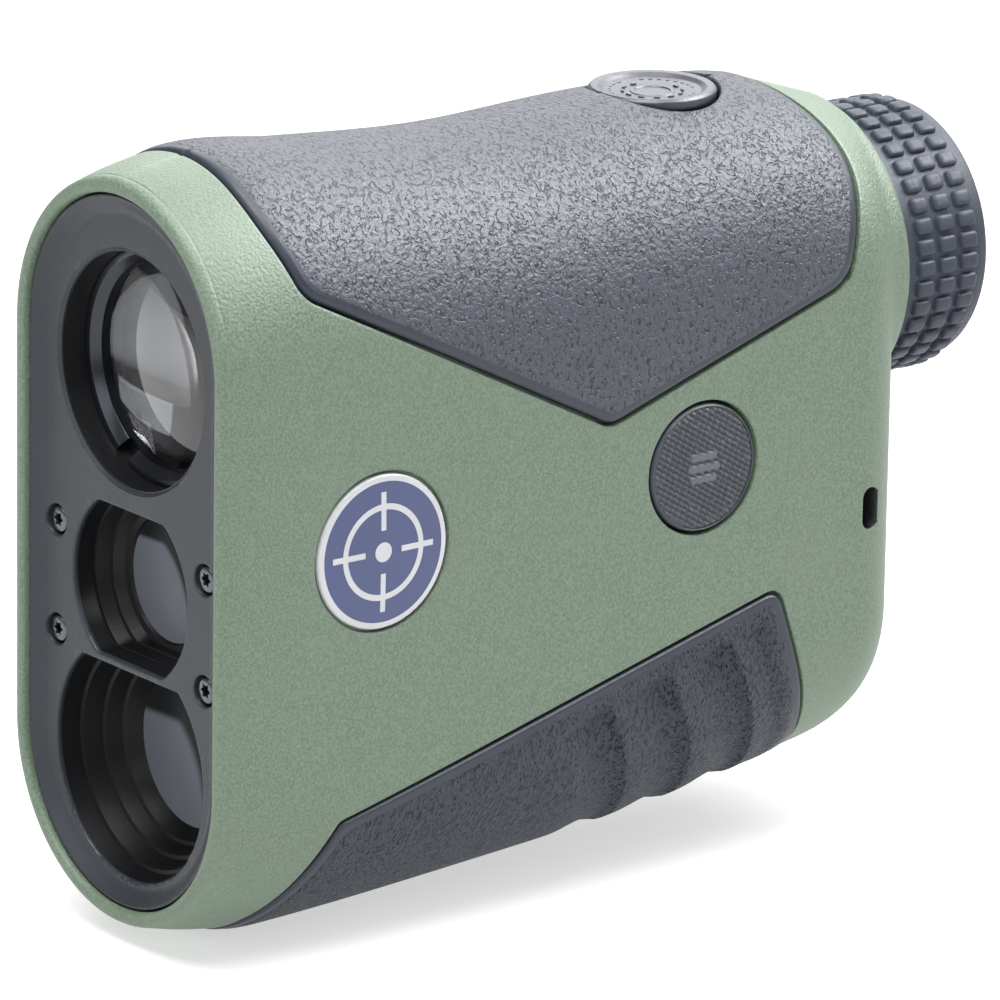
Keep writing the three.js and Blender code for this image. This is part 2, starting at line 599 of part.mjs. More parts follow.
function addOptics() {
  add('objective_tube', objectiveTube(), blackPlastic);
  add('objective_retaining_ring', retainingRing(), blackMetal);
  add('objective_lens', lens(11.5, 5.5, 7.3, 1.9, 0.6), glass);
  add('objective_seal', ringY(11.6, 10.7, 7.7, 8.3), blackRubber);
  add('emitter_baffle', emitterBaffle(), blackPlastic);
  add('emitter_lens', lens(6.3, 5.9, 7.2, 0.8, 0.9), glass, [0, 0, EMITTER.z]);
  add('laser_diode', diodeCan(3.5, 4), steel, [0, 15, EMITTER.z]);
  add('emitter_board', cut(plateY(16, 13, 1), rodY(0.6, -1, 3, 1, 0, 6), rodY(0.6, -1, 3, -1, 0, 6)),
    boardGreen, [0, 20.4, EMITTER.z]);
  add('receiver_baffle', receiverBaffle(), blackPlastic);
  add('receiver_lens', lens(8.1, 8.4, 10.4, 0.8, 1.0), glass, [0, 0, RECEIVER.z]);
  add('photodiode', diodeCan(3.2, 4), steel, [0, 18, RECEIVER.z]);
  add('receiver_board', cut(plateY(18, 14, 1), rodY(0.6, -1, 3, 1, 0, 6), rodY(0.6, -1, 3, -1, 0, 6)),
    boardGreen, [0, 24.4, RECEIVER.z]);
  add('optics_bulkhead', bulkhead(), blackPlastic);
  add('prism_housing', prismHousing(), blackPlastic);
  add('roof_prism', roofPrism(), glass, [0, 51, 0]);
  add('display_module', cut(plateY(16, 16, 1.6), rodY(5.5, -1, 0.8)), chipBlack, [0, 64, EYE_Z]);
  add('eyepiece_barrel', eyepieceBarrel(), blackPlastic, [0, 0, EYE_Z]);
}

function addElectronics() {
  const { y, z } = MODE_BUTTON;
  add('main_board', box(-11.2, -10, 32, 78, -43.5, -14), boardGreen);
  add('processor', box(-12.8, -11.5, 50, 60, -36, -26), chipBlack);
  add('side_board', box(10.0, 10.9, y - 6, y + 6, z - 6, z + 4), boardGreen);
  add('mode_switch', tactSwitch(), chipBlack, [11.2, y, z], [0, Math.PI / 2, 0]);
  add('top_board', box(-6, 6, TOP_BUTTON.y - 4, TOP_BUTTON.y + 4, 10.6, 11.5), boardGreen);
  add('measure_switch', tactSwitch(), chipBlack, [0, TOP_BUTTON.y, 11.8]);
  add('battery_tube', batteryTube(), blackPlastic, [0, 0, BATTERY.z]);
  add('battery', cell(), cellBlue, [0, BATTERY.start, BATTERY.z]);
  add('battery_spring', contactSpring(), steel, [0, BATTERY_TUBE.start + 1, BATTERY.z]);
}

function addMovingParts() {
  add('measure_button', measureButton(), greyRubber, [0, TOP_BUTTON.y, 0]);
  add('mode_button', modeButton(), charcoal, [0, MODE_BUTTON.y, MODE_BUTTON.z]);
  add('diopter_ring', diopterRing(), blackPlastic, [0, 0, EYE_Z]);
  add('ring_grip', ringGrip(), blackRubber, [0, 0, EYE_Z]);
  add('eyecup', eyecup(), blackRubber, [0, 0, EYE_Z]);
  add('lens_cell', lensCell(), blackMetal, [0, 0, EYE_Z]);
  add('field_lens', lens(9.3, 76.9, 77.8, 0.3, 1.6), glass, [0, 0, EYE_Z]);
  add('eye_lens', lens(9.5, 86.6, 88.4, 1.2, 1.4), glass, [0, 0, EYE_Z]);
  add('cell_retainer', ringY(9.6, 8.6, 90.2, 91.3), blackMetal, [0, 0, EYE_Z]);
  add('cap_seal', ringY(8.7, 7.9, 83.6, 84.8), blackRubber, [0, 0, BATTERY.z]);
  add('battery_cap', batteryCap(), charcoal, [0, 0, BATTERY.z]);
  add('cap_contact', rodY(3.1, 80.9, CAP.plugStart + 0.5), brass, [0, 0, BATTERY.z]);
}

addCase();
addOptics();
addElectronics();
addMovingParts();

// The origin is the middle of the base: halfway along, and level with the lowest point of the armour.
const BASE_Z = -bottomLine(10) + ARMOUR_PROUD;
rangefinder.position.set(0, -(FRONT_Y + EYECUP_END) / 2, BASE_Z);

export default rangefinder;
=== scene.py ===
"""Looks of a handheld laser rangefinder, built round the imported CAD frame.

Shapes are worked out in millimetres in the optical frame: the objective's axis is x = 0, z = 0,
the flat of the bezel is y = 0, the front is -Y. ORIGIN moves them to the row frame.
"""
import json
import math

import bmesh
import bpy
import numpy as np
from mathutils import Matrix, Vector
from mathutils.geometry import delaunay_2d_cdt


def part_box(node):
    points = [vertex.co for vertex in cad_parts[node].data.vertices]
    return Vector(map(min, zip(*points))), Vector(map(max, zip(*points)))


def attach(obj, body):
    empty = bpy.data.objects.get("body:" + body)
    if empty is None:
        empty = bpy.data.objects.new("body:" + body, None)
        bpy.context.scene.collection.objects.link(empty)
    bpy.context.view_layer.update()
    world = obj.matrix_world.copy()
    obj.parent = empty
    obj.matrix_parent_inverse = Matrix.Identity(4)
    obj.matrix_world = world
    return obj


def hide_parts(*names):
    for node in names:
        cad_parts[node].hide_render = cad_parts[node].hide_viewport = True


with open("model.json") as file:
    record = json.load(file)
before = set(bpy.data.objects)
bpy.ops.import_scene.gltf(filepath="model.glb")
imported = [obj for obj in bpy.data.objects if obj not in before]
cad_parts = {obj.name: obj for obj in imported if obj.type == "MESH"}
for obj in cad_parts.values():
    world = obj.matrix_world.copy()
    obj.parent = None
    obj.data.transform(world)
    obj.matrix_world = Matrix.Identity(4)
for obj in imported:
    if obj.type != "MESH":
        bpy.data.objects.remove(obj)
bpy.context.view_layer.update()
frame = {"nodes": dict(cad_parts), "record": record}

MM = 0.001
PI = math.pi


def centre(node):
    """The middle of a CAD node's box, in millimetres of the row frame."""
    lo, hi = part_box(node)
    return np.array((lo + hi) / 2) / MM


FRONT_Y = -1.7
ORIGIN = np.array([0.0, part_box("front_rim")[0].y / MM - FRONT_Y, centre("objective_retaining_ring")[2]])


def optical(node):
    return centre(node) - ORIGIN


# ---- The case's surface ----
# A point of the skin is (m, q): m runs from the front edge along the body, round the rear edge and
# inward over the rear face; q runs from the top seam down the right side to the bottom seam.

HALF = 17.8
NOSE_TAPER = 0.6
NOSE_END = 9.3
ROUND = 6.5
ROUND_START = 79.0
ARC = HALF * PI / 2
SIDE = 41.0
FULL = 2 * ARC + SIDE
FACE_M = ROUND_START + ROUND * PI / 2
LAST_M = FACE_M + HALF - ROUND
CASE_M = -0.65  # front edge of the case, behind the rim
LOW_FILLET = 1.6  # how much the rear edge rounds upward at the bottom
WALL = 3.0
REAR_Y = ROUND_START + ROUND  # flat of the rear face
EYE_Z = optical("diopter_ring")[2]
CAP_Z = optical("battery_cap")[2]
BOSS_R, BOSS_Y = 15.9, 86.3  # the round boss behind the eyepiece
BOSS_SLOPE, BOSS_FROM = 5.0, 76
BORE_R, CAP_HOLE_R = 12.5, 8.9


def columns(*coordinates):
    """Points from one array for each coordinate."""
    return np.stack(coordinates, -1)


def through(keys):
    """A smooth line through (y, z) keys."""
    ys, zs = np.array(keys, float).T
    n = np.arange(len(ys))
    before, after = np.maximum(n - 1, 0), np.minimum(n + 1, len(ys) - 1)
    slopes = (zs[after] - zs[before]) / (ys[after] - ys[before])

    def line(y):
        k = np.clip(np.searchsorted(ys, y, side="right") - 1, 0, len(ys) - 2)
        span = ys[k + 1] - ys[k]
        t = np.clip((y - ys[k]) / span, 0, 1)
        rise = zs[k] * (1 + 2 * t) * (1 - t) ** 2 + zs[k + 1] * t * t * (3 - 2 * t)
        return rise + span * (slopes[k] * t * (1 - t) ** 2 - slopes[k + 1] * t * t * (1 - t))

    return line


top_line = through([(FRONT_Y, 19.3), (3, 20.5), (10, 21.3), (20, 20.2), (38, 19.0), (58, 19.55),
                    (74, 19.1), (86, 15.6)])
bottom_line = through([(FRONT_Y, -56.1), (4, -57.4), (10, -58.0), (35, -56.8), (60, -54.9),
                       (78, -52.2), (85.5, -50.4)])


def spine(m):
    """For each m: y, radius, centres of the top and bottom arcs, inset, tilt of the normal to +Y."""
    tilt = np.clip((m - ROUND_START) / ROUND, 0, PI / 2)
    y = np.where(m < ROUND_START, m, ROUND_START + ROUND * np.sin(tilt))
    nose = np.clip((NOSE_END - y) / (NOSE_END - FRONT_Y), 0, 1)
    r = HALF - NOSE_TAPER * nose**2 - ROUND * (1 - np.cos(tilt))
    top = top_line(y) - r
    low = bottom_line(y) + r + LOW_FILLET * (1 - np.cos(tilt))
    return y, r, top, low, np.maximum(m - FACE_M, 0), tilt


def skin(mq, h=0.0):
    """Points at height h over the skin."""
    m, q = mq[:, 0], mq[:, 1]
    y, r, top, low, inset, tilt = spine(m)
    upper = np.clip(q / HALF, 0, PI / 2)
    lower = np.clip((q - ARC - SIDE) / HALF, 0, PI / 2)
    dx = np.where(q < ARC, np.sin(upper), np.cos(lower))
    dz = np.where(q < ARC, np.cos(upper), -np.sin(lower))
    out = r - inset + h * np.cos(tilt)
    cz = top + (low - top) * np.clip((q - ARC) / SIDE, 0, 1)
    return columns(dx * out, y + h * np.sin(tilt), cz + dz * out)


def with_boss(points):
    """The skin with the round boss behind the eyepiece blended in."""
    x, y, z = points.T
    rho = np.hypot(x, z - EYE_Z)
    edge = np.clip(rho - (BOSS_R - 1), 0, 1)
    boss = BOSS_Y - 1 + np.sqrt(1 - edge**2) - BOSS_SLOPE * np.maximum(rho - BOSS_R, 0)
    mix = np.clip(0.5 + 0.5 * (y - boss), 0, 1)
    raised = boss * (1 - mix) + y * mix + mix * (1 - mix)
    return columns(x, np.where(y > BOSS_FROM, raised, y), z)


def round_q(z, top, low, up, down):
    """q at height z: up above the top arc's centre, down below the bottom one's, else on the side."""
    return np.where(z > top, up, np.where(z < low, down, ARC + SIDE * (top - z) / (top - low)))


def side_mq(yz):
    """(y, z) seen from the right, as (m, q)."""
    y, z = np.asarray(yz, float).T
    turn = np.arcsin(np.clip((y - ROUND_START) / ROUND, 0, 1))
    m = np.where(y <= ROUND_START, y, ROUND_START + ROUND * turn)
    _, r, top, low, _, _ = spine(m)
    up = HALF * np.arccos(np.clip((z - top) / r, -1, 1))
    down = ARC + SIDE + HALF * np.arcsin(np.clip((low - z) / r, -1, 1))
    return columns(m, round_q(z, top, low, up, down))


def rear_mq(xz):
    """(x, z) seen from behind, x not negative, as (m, q)."""
    x, z = np.asarray(xz, float).T
    near, far = np.full(x.shape, ROUND_START), np.full(x.shape, LAST_M)
    for _ in range(50):
        m = (near + far) / 2
        _, r, top, low, inset, _ = spine(m)
        inside = np.hypot(x, z - np.clip(z, low, top)) < r - inset
        near, far = np.where(inside, m, near), np.where(inside, far, m)
    _, r, top, low, _, _ = spine(m)
    up = HALF * np.arctan2(x, np.maximum(z - top, 0))
    down = ARC + SIDE + HALF * np.arctan2(np.maximum(low - z, 0), x)
    return columns(m, round_q(z, top, low, up, down))


# ---- Lines in a plane ----

def circle(cx, cy, r, n=64, start=0.0, turn=2 * PI):
    t = start + turn * np.linspace(0, 1, n + 1)
    return columns(cx + r * np.cos(t), cy + r * np.sin(t))


def lattice(across, up):
    """All pairs of two rows of numbers, as points."""
    us, vs = np.meshgrid(across, up)
    return columns(us.ravel(), vs.ravel())


def closed(line):
    """The line with its first point again at the end."""
    return np.concatenate([line, line[:1]])


def resample(line, step):
    """The line at equal steps, with its ends kept."""
    reach = np.r_[0, np.cumsum(np.hypot(*np.diff(line, axis=0).T))]
    at = np.linspace(0, reach[-1], max(3, int(math.ceil(reach[-1] / step)) + 1))
    return np.stack([np.interp(at, reach, line[:, k]) for k in (0, 1)], -1)


def rounded(corners, steps=4):
    """A closed outline from (a, b, radius) corners, each rounded by an arc."""
    pts = [(np.array(c[:2], float), (c[2] if len(c) > 2 else 0.0)) for c in corners]
    out = []
    for i, (p, r) in enumerate(pts):
        if r <= 0:
            out.append(p)
            continue
        a, b = pts[i - 1][0] - p, pts[(i + 1) % len(pts)][0] - p
        la, lb = np.hypot(*a), np.hypot(*b)
        a, b = a / la, b / lb
        half = math.acos(np.clip(a @ b, -1, 1)) / 2
        reach = min(r / math.tan(half), 0.49 * la, 0.49 * lb)
        r = reach * math.tan(half)
        mid = a + b
        middle = p + mid / np.hypot(*mid) * (r / math.sin(half))
        first, last = p + a * reach - middle, p + b * reach - middle
        a0, a1 = math.atan2(first[1], first[0]), math.atan2(last[1], last[0])
        a1 = a0 + (a1 - a0 + PI) % (2 * PI) - PI
        out += [middle + r * np.array([math.cos(t), math.sin(t)]) for t in np.linspace(a0, a1, steps + 1)]
    return np.array(out)


def distance(points, lines):
    """How far each point is from the nearest of the lines."""
    a = np.concatenate([line[:-1] for line in lines])
    d = np.concatenate([np.diff(line, axis=0) for line in lines])
    long = np.maximum((d * d).sum(1), 1e-12)
    best = []
    for part in np.array_split(points, max(1, len(points) // 1500)):
        v = part[:, None] - a[None]
        t = np.clip((v * d[None]).sum(2) / long[None], 0, 1)
        best.append(np.sqrt(((v - t[..., None] * d[None]) ** 2).sum(2).min(1)))
    return np.concatenate(best)


def inside(points, polygon):
    """Which points lie in the closed polygon."""
    x, y = points.T
    hit = np.zeros(len(points), bool)
    for (x0, y0), (x1, y1) in zip(polygon, np.roll(polygon, -1, 0)):
        if y0 != y1:
            hit ^= ((y0 > y) != (y1 > y)) & (x < (x1 - x0) * (y - y0) / (y1 - y0) + x0)
    return hit


def beside(lines, offsets):
    """Points along the lines at the given distances on both sides."""
    out = []
    for line in lines:
        along = np.gradient(line, axis=0)
        normal = columns(-along[:, 1], along[:, 0]) / np.hypot(*along.T)[:, None]
        for d in offsets:
            for side in (-1, 1):
                new = line + side * d * normal
                out.append(new[distance(new, lines) > 0.9 * d])
    return np.concatenate(out)


def triangulate(points, lines):
    """A Delaunay mesh of the points that keeps the lines as edges: its points and triangles."""
    coords, edges = [], []
    for line in lines:
        edges += [(len(coords) + i, len(coords) + i + 1) for i in range(len(line) - 1)]
        coords += [Vector(p) for p in line]
    coords += [Vector(p) for p in points]
    verts, _, faces, *_ = delaunay_2d_cdt(coords, edges, [], 0, 1e-5)
    return np.array([v[:] for v in verts]), np.array([f[:] for f in faces if len(f) == 3])


def filled(lines, points, holes=()):
    """A flat mesh of the points and lines, inside the first line and outside the holes.

    Gives its points, its triangles and their middles.
    """
    flat, tris = triangulate(points, lines)
    middle = flat[tris].mean(1)
    keep = inside(middle, lines[0])
    for hole in holes:
        keep &= ~inside(middle, hole)
    return flat, tris[keep], middle[keep]


def thicken(flat, tris, tops, bottom, regions=None, open_edge=None):
    """A closed solid over a flat mesh.

    tops[region] are a region's outer points and bottom the inner points of all; regions gives each
    triangle's region, 0 if left out. Regions of unlike height are joined by walls, and so are the
    outer and inner skins at every border, unless open_edge says that the edge stays open.
    """
    if regions is None:
        regions = np.zeros(len(tris), int)
    verts, index = [bottom], {}
    count = len(flat)
    for region in sorted(tops):
        used = np.unique(tris[regions == region])
        index[region] = dict(zip(used.tolist(), range(count, count + len(used))))
        verts.append(tops[region][used])
        count += len(used)
    faces, sides = [], {}
    for tri, region in zip(tris.tolist(), regions.tolist()):
        faces.append([index[region][v] for v in tri])
        faces.append(tri[::-1])
        for a, b in zip(tri, tri[1:] + tri[:1]):
            sides[(a, b)] = region
    for (a, b), region in sides.items():
        other = sides.get((b, a))
        out = index[region]
        if other is None:
            if open_edge is None or not open_edge(flat[a], flat[b]):
                faces.append([out[b], out[a], a, b])
        elif other > region:
            faces.append([out[b], out[a], index[other][a], index[other][b]])
    return np.concatenate(verts), faces


def face_looks(outer, faces):
    """Material numbers of thicken's faces: outer's on the outer skin, 0 inside, 1 on the walls."""
    by_face = np.ones(len(faces), int)
    by_face[0 : 2 * len(outer) : 2] = outer
    by_face[1 : 2 * len(outer) : 2] = 0
    return by_face


def mirrored(verts, faces):
    """The solid joined to its mirror image across x = 0."""
    n = len(verts)
    both = np.concatenate([verts, verts * [-1, 1, 1]])
    return both, faces + [[v + n for v in face[::-1]] for face in faces]


# ---- Pieces ----

WELD, NO_LENGTH = 2e-7, 1e-8  # metres


def placed(name, data):
    """A new object in the scene."""
    made = bpy.data.objects.new(name, data)
    bpy.context.scene.collection.objects.link(made)
    return made


def piece(name, verts, faces, look, replaces, slot, body="housing", crease=38, by_face=None):
    """A mesh object from millimetre points that stands for CAD nodes and rides on a body."""
    looks = look if isinstance(look, list) else [look]
    mesh = bpy.data.meshes.new(name)
    mesh.from_pydata(((np.asarray(verts) + ORIGIN) * MM).tolist(), [], faces)
    for item in looks:
        mesh.materials.append(item)
    if by_face is not None:
        mesh.polygons.foreach_set("material_index", by_face)
    bm = bmesh.new()
    bm.from_mesh(mesh)
    bmesh.ops.remove_doubles(bm, verts=bm.verts, dist=WELD)
    bmesh.ops.dissolve_degenerate(bm, edges=bm.edges, dist=NO_LENGTH)
    loose = [v for v in bm.verts if not v.link_faces]
    bmesh.ops.delete(bm, geom=loose, context="VERTS")
    bmesh.ops.recalc_face_normals(bm, faces=bm.faces)
    bm.to_mesh(mesh)
    bm.free()
    mesh.shade_smooth()
    mesh.set_sharp_from_angle(angle=math.radians(crease))
    made = placed(name, mesh)
    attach(made, body)
    if replaces:
        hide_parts(*replaces)
    return made


# Where a turned point's (r cos, r sin, along) go, for each axis.
AXES = {"X": (2, 0, 1), "Y": (0, 2, 1), "Z": (0, 1, 2)}


def lathe(profile, at, axis="Y", segments=96, change=None):
    """Points and faces of a closed (radius, along) profile turned about an axis through at."""
    profile = np.asarray(profile, float)
    angles = segments
    if np.isscalar(segments):
        angles = np.linspace(0, 2 * PI, segments, endpoint=False)
    verts = []
    for t in angles:
        r, w = (profile if change is None else change(profile.copy(), t)).T
        verts.append(columns(r * np.cos(t), r * np.sin(t), w))
    local, faces = loft(verts)
    return local[:, AXES[axis]] + np.asarray(at, float), [[a, d, c, b] for a, b, c, d in faces]


def loft(rings, joined=True):
    """Faces through rings of equal length; joined links the last ring to the first."""
    n, count = len(rings[0]), len(rings)
    faces = []
    for i in range(count if joined else count - 1):
        here, there = i * n, (i + 1) % count * n
        for k in range(n):
            after = (k + 1) % n
            faces.append([here + k, here + after, there + after, there + k])
    return np.concatenate(rings), faces


def merged(*parts):
    """Several (points, faces) as one."""
    verts, faces, count = [], [], 0
    for v, f in parts:
        verts.append(v)
        faces += [[i + count for i in face] for face in f]
        count += len(v)
    return np.concatenate(verts), faces


# ---- Materials ----

TONE = 0.6


def linear(*rgb):
    """An sRGB colour of 0-255 values as linear RGBA, toned down for the bright stage."""
    return tuple(TONE * ((v / 255 + 0.055) / 1.055) ** 2.4 for v in rgb) + (1.0,)


def scaled(colour, factor, lift=0.0):
    return tuple(min(c * factor + lift, 1) for c in colour[:3]) + (1.0,)


class Look:
    """A procedural material round one Principled shader. Lengths are in millimetres."""

    def __init__(self, name, rough, **sockets):
        self.material = bpy.data.materials.new(name)
        self.material.use_nodes = True
        self.tree = self.material.node_tree
        self.shader = self.tree.nodes["Principled BSDF"]
        self.shader.inputs["Roughness"].default_value = rough
        for key, value in sockets.items():
            self.shader.inputs[key.replace("_", " ")].default_value = value
        coords = self.node("ShaderNodeTexCoord")
        scale = self.node("ShaderNodeVectorMath", {"Scale": 1 / MM}, operation="SCALE")
        self.link(coords.outputs["Object"], scale.inputs[0])
        self.place = scale.outputs[0]
        self.height = None

    def node(self, kind, numbers=(), **settings):
        """A new node with its settings and the numbers of its sockets."""
        made = self.tree.nodes.new(kind)
        for key, value in settings.items():
            setattr(made, key, value)
        for key, value in dict(numbers).items():
            made.inputs[key].default_value = value
        return made

    def link(self, a, b):
        self.tree.links.new(a, b)

    def noise(self, size, detail=2.0, rough=0.5, distortion=0.0, stretch=None):
        made = self.node("ShaderNodeTexNoise", {"Scale": 1 / size, "Detail": detail, "Roughness": rough,
                                                "Distortion": distortion})
        source = self.place
        if stretch:
            mapping = self.node("ShaderNodeMapping", {"Rotation": stretch[0], "Scale": stretch[1]})
            self.link(self.place, mapping.inputs["Vector"])
            source = mapping.outputs[0]
        self.link(source, made.inputs["Vector"])
        return made.outputs["Fac"]

    def cells(self, size, smooth):
        numbers = {"Scale": 1 / size, "Smoothness": smooth}
        made = self.node("ShaderNodeTexVoronoi", numbers, feature="SMOOTH_F1")
        self.link(self.place, made.inputs["Vector"])
        return made.outputs["Distance"]

    def ramp(self, value, low, high, start=0.0, end=1.0):
        """From start where the value is low to end where it is high."""
        numbers = {"From Min": low, "From Max": high, "To Min": start, "To Max": end}
        made = self.node("ShaderNodeMapRange", numbers, interpolation_type="SMOOTHSTEP")
        self.link(value, made.inputs["Value"])
        return made.outputs[0]

    def maths(self, operation, *values):
        made = self.node("ShaderNodeMath", operation=operation)
        for socket, value in zip(made.inputs, values):
            if isinstance(value, float):
                socket.default_value = value
            else:
                self.link(value, socket)
        return made.outputs[0]

    def colour(self, value, dark, light):
        """Mixes light by value over dark, or over the present colour if that is None."""
        made = self.node("ShaderNodeMix", {"B": light}, data_type="RGBA")
        base = self.shader.inputs["Base Color"]
        if dark is None:
            self.link(base.links[0].from_socket, made.inputs["A"])
        else:
            made.inputs["A"].default_value = dark
        self.link(value, made.inputs["Factor"])
        self.link(made.outputs["Result"], base)
        return self

    def blend(self, value, light):
        return self.colour(value, None, light)

    def edges(self, light, share=0.5):
        """Wear: a lighter tint where the mesh is most convex."""
        made = self.node("ShaderNodeNewGeometry")
        return self.blend(self.ramp(made.outputs["Pointiness"], 0.52, 0.62, 0, share), light)

    def hollows(self, dark, share):
        """Dirt and shade: a darker tint where the mesh is most concave."""
        made = self.node("ShaderNodeNewGeometry")
        return self.blend(self.ramp(made.outputs["Pointiness"], 0.40, 0.49, share, 0), dark)

    def roughen(self, value, low, high):
        self.link(self.ramp(value, 0.3, 0.7, low, high), self.shader.inputs["Roughness"])
        return self

    def bump(self, value, depth, strength=1.0):
        made = self.node("ShaderNodeBump", {"Strength": strength, "Distance": depth * MM})
        self.link(value, made.inputs["Height"])
        if self.height is not None:
            self.link(self.height, made.inputs["Normal"])
        self.height = made.outputs[0]
        self.link(self.height, self.shader.inputs["Normal"])
        return self


def green_look():
    look = Look("green_polymer", 0.5, Specular_IOR_Level=0.65)
    fine = look.noise(0.26, 2, 0.6)
    spots = look.cells(0.36, 0.3)
    look.colour(look.ramp(fine, 0.3, 0.7), linear(108, 132, 109), linear(139, 163, 138))
    look.blend(look.ramp(look.noise(9.0, 3), 0.45, 0.9, 0, 0.35), linear(136, 154, 130))
    look.edges(linear(158, 178, 154))
    look.roughen(fine, 0.42, 0.6)
    return look.bump(fine, 0.06, 0.8).bump(spots, 0.05, 0.8).material


def rubber_look(name, dark, light, pit, depth, shine, stretch=None):
    """Moulded grain: lumps parted by short, winding creases. The creases are tinted dark as painted shade,
    and the raised lumps are tinted lighter as a painted highlight.
    """
    look = Look(name, 0.5)
    winding = look.maths("ABSOLUTE", look.maths("SUBTRACT", look.noise(pit, 1.0, 0.5, 0.3, stretch), 0.5))
    broken = look.ramp(look.noise(pit * 0.8, 1.0), 0.40, 0.60, 0.0, 0.07)
    crease = look.ramp(look.maths("ADD", winding, broken), 0.0, 0.1)
    lumps = look.noise(pit * 0.7, 1.0, 0.5, 0.0, stretch)
    fine = look.noise(0.2, 2)
    # painted shade: the colour goes to dark along the creases, where the bump sinks the surface
    look.colour(crease, dark, light)
    # painted highlight: the raised lumps are lifted towards a lighter tint, where the bump raises the surface
    look.blend(look.ramp(lumps, 0.52, 0.75, 0, 0.5), scaled(light, 1.4))
    look.roughen(fine, 0.48, 0.62)
    look.link(look.ramp(crease, 0.0, 1.0, 0.6 * shine, shine), look.shader.inputs["Specular IOR Level"])
    return look.bump(crease, depth).bump(lumps, depth * 2.2).bump(fine, 0.04, 0.8).material


def knurl_look():
    look = Look("knurled_polymer", 0.42)
    fine = look.noise(0.15, 3)
    look.colour(look.ramp(look.noise(6.0, 4), 0.3, 0.7), linear(72, 78, 87), linear(78, 84, 94))
    look.edges(linear(120, 126, 136), 0.7).hollows(linear(30, 33, 39), 0.85)
    look.roughen(fine, 0.38, 0.48)
    return look.bump(fine, 0.02, 0.6).material


def smooth_look(name, rgb, rough, grain=0.3, depth=0.03, wear=0.5, **sockets):
    look, colour = Look(name, rough, **sockets), linear(*rgb)
    fine = look.noise(grain, 3)
    look.colour(look.ramp(look.noise(6.0, 4), 0.3, 0.7), scaled(colour, 0.9), colour)
    look.edges(scaled(colour, 1.5, 0.01), wear)
    look.roughen(fine, rough * 0.88, min(rough * 1.12, 1))
    return look.bump(fine, depth, 0.6).material


green = green_look()
# in each, the first colour is the painted shade in the creases; the second, made lighter, gives the painted
# highlight on the lumps
armour = rubber_look("armour_grain", linear(27, 34, 47), linear(60, 68, 84), 0.75, 0.068, 0.75)
low_armour = rubber_look("armour_streak_grain", linear(24, 31, 42), linear(50, 60, 75), 0.55, 0.14, 0.5,
                         ((0.5, 0.0, 0.0), (1.0, 1.2, 0.6)))
armour_edge = smooth_look("armour_border", (48, 56, 71), 0.45, grain=0.25, wear=0.2)
button_rubber = smooth_look("button_rubber", (62, 69, 83), 0.4, grain=0.25, wear=0.3,
                            Specular_IOR_Level=0.75)
charcoal = smooth_look("charcoal_polymer", (54, 60, 68), 0.42, grain=0.28, depth=0.05,
                       Specular_IOR_Level=0.4)
knurl = knurl_look()
black = smooth_look("matt_black", (24, 25, 28), 0.4, grain=0.5, wear=0.1)
flocked = smooth_look("baffle_black", (15, 16, 19), 0.45, grain=0.25, depth=0.02, wear=0.0,
                      Specular_IOR_Level=0.25)
grip = smooth_look("grip_rubber", (72, 79, 93), 0.5, grain=0.3, depth=0.05, Specular_IOR_Level=0.3)
dark_metal = smooth_look("black_anodised", (76, 79, 85), 0.24, grain=0.2, depth=0.01, Metallic=0.9)
screw_metal = smooth_look("black_screw", (118, 120, 126), 0.2, grain=0.2, depth=0.01, Metallic=0.9)
steel = smooth_look("nickel_plate", (196, 196, 192), 0.28, grain=0.3, depth=0.01, Metallic=1.0)
brass = smooth_look("contact_brass", (204, 170, 96), 0.3, grain=0.3, depth=0.01, Metallic=1.0)
board = smooth_look("solder_mask", (30, 92, 56), 0.4, grain=0.6)
chip = smooth_look("moulding_compound", (28, 29, 31), 0.55, grain=0.3)
cell_blue = smooth_look("cell_sleeve", (48, 84, 140), 0.3, grain=0.6, Coat_Weight=0.5)
badge_blue = smooth_look("badge_blue", (46, 68, 136), 0.35, grain=0.5, depth=0.01, Coat_Weight=0.6)
badge_white = smooth_look("badge_white", (246, 248, 252), 0.35, grain=0.5, depth=0.01, Coat_Weight=0.6)
inner_glass = smooth_look("prism_glass", (176, 190, 196), 0.1, grain=2.0, depth=0.005,
                          Transmission_Weight=0.6)


def lens_look(name, rgb, rough, **sockets):
    look, colour = Look(name, rough, **sockets), linear(*rgb)
    look.colour(look.ramp(look.noise(7.0, 2), 0.35, 0.65), scaled(colour, 0.94), colour)
    return look.bump(look.noise(9.0, 0), 0.001, 0.1).material


objective_glass = lens_look("objective_glass", (250, 250, 250), 0.0, IOR=1.6, Transmission_Weight=1.0,
                            Specular_IOR_Level=0.8)
objective_coating = lens_look("objective_coating", (190, 194, 202), 0.0, Metallic=1.0)
window_glass = lens_look("window_glass", (42, 44, 48), 0.3, Specular_IOR_Level=0.08)
eye_glass = lens_look("eye_glass", (34, 38, 48), 0.03, IOR=1.9, Coat_Weight=1.0, Coat_Roughness=0.02)

NODE_LOOKS = {
    "green_shell": green, "charcoal_shell": charcoal, "grey_rubber": armour, "black_rubber": grip,
    "black_plastic": black, "black_metal": dark_metal, "coated_glass": inner_glass, "board_green": board,
    "chip_black": chip, "plated_steel": steel, "contact_brass": brass, "badge_blue": badge_blue,
    "cell_blue": cell_blue,
}


def dress_nodes():
    """Every CAD node gets the procedural material of its slot."""
    slots = {row["node"]: row["material_slot"] for row in frame["record"]["subparts"]}
    for name, node in frame["nodes"].items():
        node.data.materials.clear()
        node.data.materials.append(NODE_LOOKS[slots[name]])


# ---- Case and armour ----

